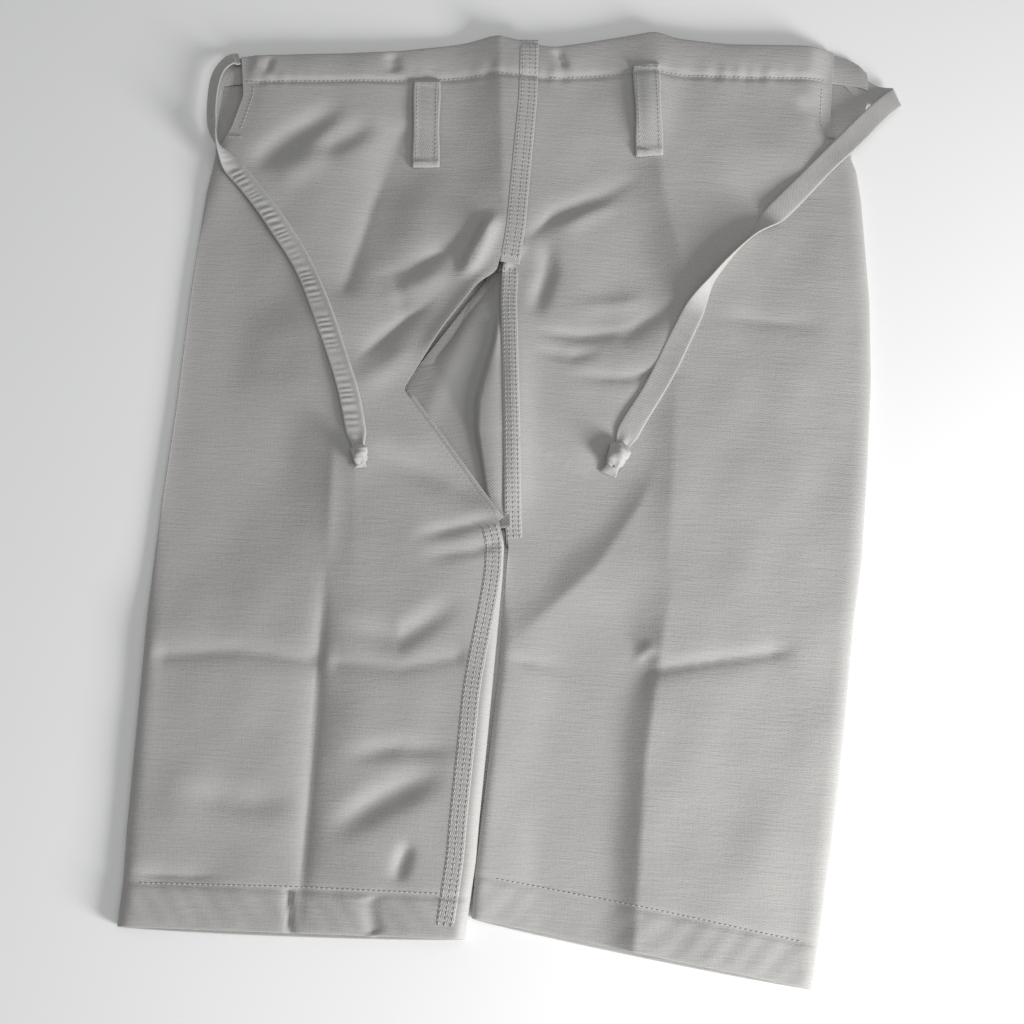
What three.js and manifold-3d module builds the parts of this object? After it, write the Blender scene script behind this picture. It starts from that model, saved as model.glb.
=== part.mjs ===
// Martial arts trousers for a child, laid flat on their back: millimetres, +Z up, waist towards +Y.
// The origin is under the middle of the garment, on the surface that it lies on.
// Each leg is one cloth folded round its outer and inner edges. It is modelled as a front, a back and
// the two folded edges between them, and it is divided at the packing crease, where it folds.
import * as THREE from "three";
import { mergeVertices } from "three/addons/utils/BufferGeometryUtils.js";
import Module from "manifold-3d";

// Every place below is measured from the middle of the top of the front waist.

// ---- Cloth and clearances
const CLOTH = 1; // one layer, with the stand-off of its weave and puckers
const ROOM = 9; // free height between the back and the front
const GAP = 0.3; // between pieces that touch
const TURNED = 2.2; // three layers, where an edge is turned over twice
const FELLED = 1; // how far a felled seam stands off the cloth

// ---- Waist
const WAIST_WIDTH = 454; // front waistband, end to end
const BAND_DEPTH = 27;
const FRONT_TUNNEL = 1; // free height inside each waistband
const BACK_TUNNEL = 2.8;
const BAND_EDGE = 2; // folded edge above a tunnel, and stitched margin below it
const SLIT_LENGTH = 76; // side slit, from the top of the waist down
const SLIT_HEM_WIDTH = 9;
const SLIT_HEM_SETBACK = 3; // from the slit's edge to its hem

// ---- Legs, as they lie
const CREASE = -472; // packing crease
const CROTCH = [-25, -392];
const SEAM_TOP = [-4, 0]; // centre seams
const LEG_GAP = 4; // between the two legs
const HEM_WIDTH = 226;
const HEM_DEPTH = 28;
const SEAM_WIDTH = 12; // felled seams
const EDGE_STEPS = 16; // straight pieces along a curved outer edge
// side: -1 left, 1 right. backSpare: how far the back waist reaches past the front. frontLean and
// flare: how far the foot of the front slit and the outer edge stand out from the waist. inseam:
// length, and swing: its angle. hemTilt: angle of the hem. bulge: outer edge, out from a straight line.
const LEGS = {
  left: { side: -1, backSpare: 5, frontLean: 12, flare: 14, inseam: 262, swing: 5.5, hemTilt: -2, bulge: 5 },
  right: { side: 1, backSpare: 18, frontLean: -5, flare: 12, inseam: 250, swing: 6, hemTilt: -11.3, bulge: 24 },
};

// ---- Crotch gusset: a square folded in two, so that a triangle shows on the front
const GUSSET_TOP = [-28, -185];
const GUSSET_BOTTOM = [-27, -374];
const GUSSET_CORNER = [-96, -280];
const GUSSET_WEB = 9; // the fold that joins its two faces at the crotch

// ---- Belt loops
const LOOP_WIDTH = 20;
const LOOP_LENGTH = 70;
const LOOP_STRAP = 1.6;
const LOOP_FOOT = 8; // sewn end
const LOOP_RISE = 5.2; // free height under the strap
const LOOP_SLOPE = 7; // length of the slope from a foot to the strap
const LOOP_X = { left: -84, right: 83 };
const TACK_WIDTH = 2.4; // bar tacks
const TACK_HEIGHT = 0.8;
const SLIT_TACK_LENGTH = 10;

// ---- Drawstring: a flat cord with a knot at each end
const TAPE_WIDTH = 14;
const TAPE_THICKNESS = 1.8;
const TAPE_STEP = 14; // length of one straight piece
const TAPE_Y = -14; // inside the back waistband
const KNOT_LENGTH = 20;
const KNOT_WIDTH = 17;
const KNOT_HEIGHT = 12;
// Each free end, from the back waistband to its knot: sideways from the end of the front waist, up
// from the top of the waist, and share of the climb from inside the back waistband to the front.
const TAPE_LIFT = 0.7; // how far the cord stands off the front
const ROUTES = {
  left: [
    [-5.8, -14, 0],
    [-14, -14.5, 0.02],
    [-22, -26, 0.2],
    [-22.5, -44, 0.65],
    [-18, -72, 1.12],
    [-6, -98, 1.12],
    [13, -121, 1.02],
    [60, -193, 1],
    [88, -270, 1],
    [98.5, -312, 1.02],
    [101, -326, 1.4],
  ],
  right: [
    [18.8, -14, 0],
    [31, -14.2, 0],
    [40, -21, 0.08],
    [43, -34, 0.36],
    [36, -49, 0.8],
    [23, -64, 1.12],
    [2, -88, 1.12],
    [-41, -129, 1.02],
    [-83, -173, 1],
    [-110, -209, 1],
    [-141, -270, 1],
    [-166, -313, 1.02],
    [-173, -325, 1.4],
  ],
};

// ---- Heights
const BACK_TOP = CLOTH;
const FRONT_BOTTOM = BACK_TOP + ROOM;
const FRONT_TOP = FRONT_BOTTOM + CLOTH;
const ON_FRONT = FRONT_TOP + GAP;
const TAPE_LOW = CLOTH + BACK_TUNNEL / 2;
const TAPE_HIGH = FRONT_TOP + TAPE_LIFT + TAPE_THICKNESS / 2;
const ON_BACK = BACK_TOP + GAP;
const UNDER_FRONT = FRONT_BOTTOM - GAP;

const FAR = 2000; // past every edge, for cutting
const UP = new THREE.Vector3(0, 0, 1);

const wasm = await Module();
wasm.setup();

// ---- Solids

/** A closed geometry as a solid for joining and cutting. */
function solidOf(geometry) {
  const bare = new THREE.BufferGeometry();
  bare.setAttribute("position", geometry.getAttribute("position"));
  bare.setIndex(geometry.getIndex());
  const merged = mergeVertices(bare, 1e-4);
  return new wasm.Manifold(
    new wasm.Mesh({
      numProp: 3,
      vertProperties: merged.getAttribute("position").array,
      triVerts: new Uint32Array(merged.getIndex().array),
    }),
  );
}

/** A solid as a geometry. */
function geometryOf(solid) {
  const mesh = solid.getMesh();
  const positions = new Float32Array(mesh.numVert * 3);
  for (let i = 0; i < mesh.numVert; i++) {
    positions.set(mesh.vertProperties.subarray(i * mesh.numProp, i * mesh.numProp + 3), i * 3);
  }
  const geometry = new THREE.BufferGeometry();
  geometry.setAttribute("position", new THREE.BufferAttribute(positions, 3));
  geometry.setIndex(new THREE.BufferAttribute(mesh.triVerts, 1));
  return geometry;
}

/** An outline of [x, y] points, made a solid from one height to another. */
function slab(outline, bottom, top) {
  const shape = new THREE.Shape(outline.map(([x, y]) => new THREE.Vector2(x, y)));
  const options = { depth: top - bottom, bevelEnabled: false };
  return solidOf(new THREE.ExtrudeGeometry(shape, options).translate(0, 0, bottom));
}

/** A box between two corners. */
function block([x0, y0, z0], [x1, y1, z1]) {
  const box = new THREE.BoxGeometry(x1 - x0, y1 - y0, z1 - z0);
  return solidOf(box.translate((x0 + x1) / 2, (y0 + y1) / 2, (z0 + z1) / 2));
}

const above = (y) => block([-FAR, y, -FAR], [FAR, FAR, FAR]);
const below = (y) => block([-FAR, -FAR, -FAR], [FAR, y, FAR]);

// ---- Points and lines in the plan

/** The point that lies a share of the way from one point to another. */
function between([x0, y0], [x1, y1], share) {
  return [x0 + (x1 - x0) * share, y0 + (y1 - y0) * share];
}

/** The point of a straight line at a height in Y. */
function at(start, end, y) {
  return between(start, end, (y - start[1]) / (end[1] - start[1]));
}

/** A line moved sideways by a distance, to the left of its direction. */
function beside(line, distance) {
  return line.map((point, i) => {
    const [x0, y0] = line[Math.max(i - 1, 0)];
    const [x1, y1] = line[Math.min(i + 1, line.length - 1)];
    const length = Math.hypot(x1 - x0, y1 - y0);
    return [point[0] - ((y1 - y0) / length) * distance, point[1] + ((x1 - x0) / length) * distance];
  });
}

/** A strip between a line and the same line moved sideways. */
function strip(line, from, to) {
  return [...beside(line, from), ...beside(line, to).reverse()];
}

/** A triangle with each side moved out by a distance. */
function grown(triangle, distance) {
  const corners = triangle.map(([x, y]) => new THREE.Vector2(x, y));
  return corners.map((corner, i) => {
    const before = corners[(i + 2) % 3].clone().sub(corner).normalize();
    const after = corners[(i + 1) % 3].clone().sub(corner).normalize();
    const half = Math.acos(before.dot(after)) / 2;
    const inwards = before.add(after).normalize();
    corner = corner.clone().addScaledVector(inwards, -distance / Math.sin(half));
    return [corner.x, corner.y];
  });
}

// ---- Landmarks
const turn = THREE.MathUtils.degToRad;
const BAND_LINE = -BAND_DEPTH - GAP; // where the panels start, under the waistbands
const seamTop = at(SEAM_TOP, GUSSET_TOP, BAND_LINE);
const centreLine = [seamTop, GUSSET_TOP, GUSSET_BOTTOM, CROTCH];

/** The corners and edges of one leg. */
function landmarks({ side, backSpare, frontLean, flare, inseam, swing, hemTilt, bulge }) {
  const crotch = side < 0 ? CROTCH : [CROTCH[0] + LEG_GAP, CROTCH[1]];
  const hemInner = [
    crotch[0] - inseam * Math.sin(turn(swing)),
    crotch[1] - inseam * Math.cos(turn(swing)),
  ];
  const hemOuter = [
    hemInner[0] + side * HEM_WIDTH * Math.cos(turn(hemTilt)),
    hemInner[1] + side * HEM_WIDTH * Math.sin(turn(hemTilt)),
  ];
  const frontEnd = side * (WAIST_WIDTH / 2);
  const backEnd = frontEnd + side * backSpare;
  const slit = [frontEnd + side * flare, -SLIT_LENGTH];
  const slitFoot = [frontEnd + side * frontLean, -SLIT_LENGTH + 4];
  const [middleX, middleY] = between(slit, hemOuter, 1 / 2);
  const outer = new THREE.QuadraticBezierCurve(
    new THREE.Vector2(...slit),
    new THREE.Vector2(middleX + 2 * side * bulge, middleY),
    new THREE.Vector2(...hemOuter),
  );
  const outerEdge = outer.getPoints(EDGE_STEPS).map(({ x, y }) => [x, y]);
  const frontSlit = [at([frontEnd, 0], slitFoot, BAND_LINE), slitFoot];
  const backSlit = [at([backEnd, 0], slit, BAND_LINE), slit];
  const innerEdge = [at(crotch, hemInner, crotch[1] - GAP), hemInner];
  return { side, hemInner, hemOuter, frontEnd, backEnd, slit, frontSlit, backSlit, outerEdge, innerEdge };
}

/** The outline of a leg's front or back, from under the waistband to the end of the leg. */
function legOutline(leg, slitEdge) {
  const crotchEdge = leg.side < 0 ? [] : [[CROTCH[0] + LEG_GAP, CROTCH[1]]];
  const slit = slitEdge === leg.backSlit ? slitEdge.slice(0, 1) : slitEdge;
  const centre = beside(centreLine, (leg.side * GAP) / 2);
  return [...slit, ...leg.outerEdge, leg.hemInner, ...crotchEdge, ...centre.reverse()];
}

/** What lies between two distances up from the end of a leg. */
function hemZone({ side, hemInner, hemOuter }, from, to) {
  const line = [between(hemInner, hemOuter, -1), between(hemInner, hemOuter, 2)];
  return slab(strip(line, side * from, side * to), -FAR, FAR);
}

/** A tube for the flat cord along a list of points, with its broad sides level. */
function tapeTube(points) {
  const path = new THREE.CatmullRomCurve3(points.map((point) => new THREE.Vector3(...point)));
  path.computeFrenetFrames = (steps) => {
    const tangents = Array.from({ length: steps + 1 }, (_, i) => path.getTangentAt(i / steps));
    const binormals = tangents.map((tangent) => tangent.clone().cross(UP).normalize());
    const normals = binormals.map((binormal, i) => binormal.clone().cross(tangents[i]));
    return { tangents, normals, binormals };
  };
  const [x, y] = [TAPE_THICKNESS / 2, TAPE_WIDTH / 2];
  const quarter = [
    [x, y - x],
    [x / 2, y],
  ];
  const half = [...quarter, ...quarter.map(([a, b]) => [-a, b]).reverse()];
  const section = [...half, ...half.map(([a, b]) => [-a, -b])];
  const shape = new THREE.Shape(section.map(([a, b]) => new THREE.Vector2(a, b)));
  const steps = Math.ceil(path.getLength() / TAPE_STEP);
  return solidOf(new THREE.ExtrudeGeometry(shape, { steps, extrudePath: path, bevelEnabled: false }));
}

// ---- Materials
const cotton = new THREE.MeshStandardMaterial({ color: 0xb4b2af, roughness: 0.95, metalness: 0 });
const seamCotton = new THREE.MeshStandardMaterial({ color: 0xb8b6b3, roughness: 0.92, metalness: 0 });
const tape = new THREE.MeshStandardMaterial({ color: 0xbcbbba, roughness: 0.9, metalness: 0 });
const thread = new THREE.MeshStandardMaterial({ color: 0xc6c5c3, roughness: 0.8, metalness: 0 });

const garment = new THREE.Group();
const trousers = new THREE.Group();
const drawstring = new THREE.Group();
garment.add(trousers, drawstring);

/** Adds a solid to a group as a named part. */
function add(group, name, solid, material) {
  const mesh = new THREE.Mesh(geometryOf(solid), material.clone());
  mesh.name = name;
  group.add(mesh);
}

// ---- Crotch gusset
const gussetSquare = [GUSSET_TOP, GUSSET_CORNER, GUSSET_BOTTOM];
const gussetFace = grown(gussetSquare, -GAP / 2);
const gussetOpening = slab(grown(gussetSquare, GAP / 2), -FAR, FAR);
const gusset = slab(gussetFace, FRONT_BOTTOM, FRONT_TOP)
  .add(slab(gussetFace, 0, BACK_TOP))
  .add(slab(gussetFace, 0, FRONT_TOP).intersect(below(GUSSET_BOTTOM[1] + GUSSET_WEB)));
add(trousers, "crotch_gusset", gusset, cotton);

// ---- Centre seams: the front one lies on the right leg, and the back one is inside
add(trousers, "centre_front_seam", slab(strip(centreLine, 1, 1 + SEAM_WIDTH), ON_FRONT, ON_FRONT + FELLED),
  seamCotton);
add(trousers, "centre_back_seam", slab(strip(centreLine, 1, 1 + SEAM_WIDTH), ON_BACK, ON_BACK + FELLED),
  seamCotton);

// ---- Legs
const legs = Object.fromEntries(Object.entries(LEGS).map(([name, lay]) => [name, landmarks(lay)]));
for (const [name, leg] of Object.entries(legs)) {
  const front = slab(legOutline(leg, leg.frontSlit), FRONT_BOTTOM, FRONT_TOP).subtract(gussetOpening);
  const back = slab(legOutline(leg, leg.backSlit), 0, BACK_TOP).subtract(gussetOpening);

  // The folded edges stand between the back and the front.
  const outerFold = slab(strip(leg.outerEdge, 0, leg.side * -CLOTH), ON_BACK, UNDER_FRONT);
  const innerFold = slab(strip(leg.innerEdge, 0, leg.side * CLOTH), ON_BACK, UNDER_FRONT);

  // The felled inseam lies on the front of the left leg, and inside the right leg on its back.
  const seamFloor = name === "left" ? ON_FRONT : ON_BACK;
  const seamEdge = leg.side * (CLOTH + GAP);
  const seamBand = strip(leg.innerEdge, seamEdge, seamEdge + leg.side * SEAM_WIDTH);
  const inseam = slab(seamBand, seamFloor, seamFloor + FELLED);

  // The hem turns the end of the leg over twice, all round.
  const lowest = Math.min(leg.hemInner[1], leg.hemOuter[1]) - 1;
  const mouthOuter = beside(leg.outerEdge, leg.side * -TURNED);
  const mouthInner = beside(leg.innerEdge, leg.side * TURNED);
  const mouth = [
    ...mouthOuter,
    [mouthOuter.at(-1)[0], lowest],
    [mouthInner.at(-1)[0], lowest],
    ...mouthInner.reverse(),
  ];
  const hem = slab(legOutline(leg, leg.frontSlit), 0, FRONT_TOP)
    .intersect(hemZone(leg, 0, HEM_DEPTH))
    .subtract(slab(mouth, TURNED, FRONT_TOP - TURNED));
  add(trousers, `${name}_hem`, hem, seamCotton);

  const leftForHem = hemZone(leg, -FAR, HEM_DEPTH + GAP);
  const halves = {
    thigh: (solid) => solid.intersect(above(CREASE + GAP / 2)),
    shin: (solid) => solid.intersect(below(CREASE - GAP / 2)).subtract(leftForHem),
  };
  for (const [half, cut] of Object.entries(halves)) {
    add(trousers, `${name}_${half}_front`, cut(front), cotton);
    add(trousers, `${name}_${half}_back`, cut(back), cotton);
    add(trousers, `${name}_${half}_outer_fold`, cut(outerFold), cotton);
    add(trousers, `${name}_${half}_inner_fold`, cut(innerFold), cotton);
    add(trousers, `${name}_${half}_inseam`, cut(inseam), seamCotton);
  }

  // The slit's edges are turned to the inside, and a bar tack closes its foot.
  const hemNear = -leg.side * SLIT_HEM_SETBACK;
  const hemFar = hemNear - leg.side * SLIT_HEM_WIDTH;
  const frontHem = slab(strip(leg.frontSlit, hemNear, hemFar), UNDER_FRONT - CLOTH, UNDER_FRONT);
  const backHem = slab(strip(leg.backSlit, hemNear, hemFar), ON_BACK, ON_BACK + CLOTH);
  add(trousers, `${name}_slit_front_hem`, frontHem.intersect(below(BAND_LINE)), seamCotton);
  add(trousers, `${name}_slit_back_hem`, backHem.intersect(below(BAND_LINE)), seamCotton);
  const tackX = leg.slit[0] - leg.side * (SLIT_TACK_LENGTH / 2 + SLIT_HEM_SETBACK);
  const slitTack = block(
    [tackX - SLIT_TACK_LENGTH / 2, leg.slit[1] - TACK_WIDTH - GAP, ON_FRONT],
    [tackX + SLIT_TACK_LENGTH / 2, leg.slit[1] - GAP, ON_FRONT + TACK_HEIGHT],
  );
  add(trousers, `${name}_slit_tack`, slitTack, thread);
}

// ---- Waistbands: the cloth is folded over at the top and sewn down below, which leaves a flat tunnel
/** The four sides of a waistband's tunnel, from one end to the other, standing on a height. */
function addWaistband(name, leftX, rightX, bottom, tunnelHeight) {
  const top = bottom + 2 * CLOTH + tunnelHeight;
  const edges = { fold: [-BAND_EDGE, 0], sewn_edge: [-BAND_DEPTH, -BAND_DEPTH + BAND_EDGE] };
  const layers = { lower_layer: [bottom, bottom + CLOTH], upper_layer: [top - CLOTH, top] };
  for (const [layer, [z0, z1]] of Object.entries(layers)) {
    add(trousers, `${name}_${layer}`, block([leftX, -BAND_DEPTH, z0], [rightX, 0, z1]), cotton);
  }
  for (const [edge, [y0, y1]] of Object.entries(edges)) {
    const side = block([leftX, y0, bottom + CLOTH + GAP], [rightX, y1, top - CLOTH - GAP]);
    add(trousers, `${name}_${edge}`, side, cotton);
  }
}
const { left, right } = legs;
addWaistband("front_waistband", left.frontEnd, right.frontEnd, FRONT_BOTTOM, FRONT_TUNNEL);
addWaistband("back_waistband", left.backEnd, right.backEnd, 0, BACK_TUNNEL);

// ---- Belt loops: sewn at both ends to the front, and free between
for (const [name, x] of Object.entries(LOOP_X)) {
  const top = BAND_LINE - GAP;
  const bottom = top - LOOP_LENGTH;
  const under = [
    [bottom, 0],
    [bottom + LOOP_FOOT, 0],
    [bottom + LOOP_FOOT + LOOP_SLOPE, LOOP_RISE],
    [top - LOOP_FOOT - LOOP_SLOPE, LOOP_RISE],
    [top - LOOP_FOOT, 0],
    [top, 0],
  ];
  const over = under.map(([y, z]) => [y, z + LOOP_STRAP]).reverse();
  const shape = new THREE.Shape([...under, ...over].map(([y, z]) => new THREE.Vector2(y, z)));
  const strap = new THREE.ExtrudeGeometry(shape, { depth: LOOP_WIDTH, bevelEnabled: false });
  strap.rotateX(Math.PI / 2).rotateZ(Math.PI / 2).translate(x - LOOP_WIDTH / 2, 0, ON_FRONT);
  add(trousers, `${name}_belt_loop`, solidOf(strap), seamCotton);

  const floor = ON_FRONT + LOOP_STRAP + GAP;
  const middles = { upper: top - LOOP_FOOT / 2, lower: bottom + LOOP_FOOT / 2 };
  for (const [end, y] of Object.entries(middles)) {
    const tack = block(
      [x - LOOP_WIDTH / 2 + 1, y - TACK_WIDTH / 2, floor],
      [x + LOOP_WIDTH / 2 - 1, y + TACK_WIDTH / 2, floor + TACK_HEIGHT],
    );
    add(trousers, `${name}_loop_${end}_tack`, tack, thread);
  }
}

// ---- Drawstring: it runs through the back waistband and lies over the front
const hiddenRun = tapeTube([
  [left.backEnd + GAP, TAPE_Y, TAPE_LOW],
  [right.backEnd - GAP, TAPE_Y, TAPE_LOW],
]);
add(drawstring, "drawstring_in_waist", hiddenRun, tape);
for (const [name, leg] of Object.entries(legs)) {
  const climb = TAPE_HIGH - TAPE_LOW;
  const points = ROUTES[name].map(([x, y, share]) => [leg.frontEnd + x, y, TAPE_LOW + share * climb]);
  add(drawstring, `drawstring_${name}_end`, tapeTube(points), tape);

  // The knot is rounded, with a flat face to the cord and another at its far end.
  const [before, last] = points.slice(-2).map((point) => new THREE.Vector3(...point));
  const heading = Math.atan2(last.y - before.y, last.x - before.x);
  const ball = new THREE.SphereGeometry(1, 20, 14);
  ball.scale(KNOT_LENGTH * 0.62, KNOT_WIDTH * 0.53, KNOT_HEIGHT * 0.53);
  const trim = [KNOT_LENGTH / 2, KNOT_WIDTH / 2, KNOT_HEIGHT / 2];
  const reach = KNOT_LENGTH / 2 + GAP;
  const knot = solidOf(ball)
    .intersect(block(trim.map((half) => -half), trim))
    .rotate([0, 0, THREE.MathUtils.radToDeg(heading)])
    .translate([
      last.x + Math.cos(heading) * reach,
      last.y + Math.sin(heading) * reach,
      ON_FRONT + KNOT_HEIGHT / 2,
    ]);
  add(drawstring, `${name}_knot`, knot, tape);
}

// ---- The origin goes under the middle of the trousers, without the drawstring
const middle = new THREE.Box3().setFromObject(trousers).getCenter(new THREE.Vector3());
garment.position.set(-middle.x, -middle.y, 0);
garment.updateMatrixWorld(true);

export default garment;
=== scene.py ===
"""Child's martial arts trousers laid flat: cloth, seams, belt loops and a knotted drawstring.

Sizes inside the classes are millimetres in the cloth's own plan: x to the right, y up towards the
waist, both from the middle of the top of the front waistband, and z up from the floor.
"""
import logging
import math
from dataclasses import dataclass, field
from enum import Enum
from typing import Callable, Sequence

import bmesh
import bpy
import numpy as np
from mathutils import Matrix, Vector


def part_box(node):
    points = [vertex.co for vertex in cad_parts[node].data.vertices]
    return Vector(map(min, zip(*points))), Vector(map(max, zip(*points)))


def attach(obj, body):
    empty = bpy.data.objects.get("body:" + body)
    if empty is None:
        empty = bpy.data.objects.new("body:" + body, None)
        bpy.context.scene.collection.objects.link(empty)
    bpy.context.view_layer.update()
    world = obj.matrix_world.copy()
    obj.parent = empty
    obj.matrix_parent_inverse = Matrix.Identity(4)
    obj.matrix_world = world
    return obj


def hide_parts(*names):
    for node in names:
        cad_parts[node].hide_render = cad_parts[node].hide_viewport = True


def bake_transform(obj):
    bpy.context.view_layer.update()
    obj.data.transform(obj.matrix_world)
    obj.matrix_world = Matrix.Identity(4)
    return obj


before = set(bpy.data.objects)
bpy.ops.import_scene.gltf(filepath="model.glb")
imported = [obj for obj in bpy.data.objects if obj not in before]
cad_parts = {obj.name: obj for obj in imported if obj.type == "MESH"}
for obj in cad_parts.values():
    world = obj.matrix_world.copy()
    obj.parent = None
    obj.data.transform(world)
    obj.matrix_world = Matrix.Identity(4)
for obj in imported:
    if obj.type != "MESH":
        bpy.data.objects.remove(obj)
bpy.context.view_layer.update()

logging.basicConfig(level=logging.INFO, format="%(message)s")
log = logging.getLogger("trousers")

Array = np.ndarray
Point = tuple[float, float]
MM = 0.001
BAND_LOW, BAND_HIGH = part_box("front_waistband_upper_layer")
MIDDLE_X = (BAND_LOW.x + BAND_HIGH.x) / 2
TOP_Y = BAND_HIGH.y


def in_row(points: Array) -> Array:
    """Points of the plan, in millimetres, as points of the model, in metres.

    Args:
        points: an array whose last axis is x, y, z.

    Returns:
        The same points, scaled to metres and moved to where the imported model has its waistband.
    """
    return points * MM + np.array([MIDDLE_X, TOP_Y, 0.0])


def ease(low: float, high: float, value: Array) -> Array:
    """Smooth step: 0 below low, 1 above high, and 3t^2 - 2t^3 between them."""
    t = np.clip((value - low) / (high - low), 0.0, 1.0)
    return t * t * (3.0 - 2.0 * t)


def resample(points: Sequence[Point], step: float) -> Array:
    """A line through given points, cut into equal steps and rounded at its corners.

    Each new point lies at an equal share of the whole length; each is then averaged with its
    neighbours twice, which rounds the corners and leaves the two ends in place.

    Args:
        points: corners of the line.
        step: length of one step in millimetres.

    Returns:
        An array of points, one row each.
    """
    line = np.array(points, float)
    lengths = np.concatenate([[0.0], np.cumsum(np.linalg.norm(np.diff(line, axis=0), axis=1))])
    count = max(int(round(lengths[-1] / step)), 2) + 1
    along = np.linspace(0.0, lengths[-1], count)
    dense = np.stack([np.interp(along, lengths, line[:, k]) for k in range(line.shape[1])], axis=1)
    for _ in range(2):
        dense[1:-1] = (dense[:-2] + 2.0 * dense[1:-1] + dense[2:]) / 4.0
    return dense


class Profile(Enum):
    """How a fold's height changes across it."""

    ROUND = "round"
    SHARP = "sharp"
    KINK = "kink"


@dataclass(frozen=True)
class Fold:
    """One fold, ridge (positive height) or groove (negative height) in the cloth."""

    profile: Profile
    height: float
    width: float
    line: tuple[Point, ...]
    fade: float = 0.38

    def relief(self, x: Array, y: Array) -> Array:
        """Height of the fold over the plan.

        The distance d to the nearest point of the line gives the shape across: a bell
        exp(-(d/w)^2) for ROUND, a crease exp(-|d|/w) for SHARP, and for KINK, on one side only, a
        quarter sine down to distance w and a slow bell back up beyond it. Its height fades out
        towards both ends of the line.

        Args:
            x: plan x of each point.
            y: plan y of each point.

        Returns:
            Height in millimetres, of the same shape as x.
        """
        corners = np.array(self.line, float)
        spans = np.linalg.norm(np.diff(corners, axis=0), axis=1)
        starts = np.concatenate([[0.0], np.cumsum(spans)])
        best = np.full(np.shape(x), 1e9)
        share = np.zeros(np.shape(x))
        side = np.zeros(np.shape(x))
        for (ax, ay), (bx, by), span, start in zip(corners[:-1], corners[1:], spans, starts):
            ux, uy = (bx - ax) / span, (by - ay) / span
            t = np.clip((x - ax) * ux + (y - ay) * uy, 0.0, span)
            rx, ry = x - ax - ux * t, y - ay - uy * t
            distance = np.hypot(rx, ry)
            near = distance < best
            best = np.where(near, distance, best)
            share = np.where(near, (start + t) / starts[-1], share)
            side = np.where(near, ux * (y - ay) - uy * (x - ax), side)
        u = best / self.width
        if self.profile is Profile.ROUND:
            across = np.exp(-u * u)
        elif self.profile is Profile.SHARP:
            across = np.exp(-np.sqrt(u * u + 0.02) + 0.14)
        else:
            falling = np.sin(0.5 * math.pi * np.minimum(u, 1.0))
            across = np.where(side < 0.0, falling * np.exp(-(np.maximum(u - 1.0, 0.0) ** 2) / 3.0), 0.0)
        ends = ease(0.0, self.fade, share) * ease(0.0, self.fade, 1.0 - share)
        return self.height * across * ends


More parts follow.
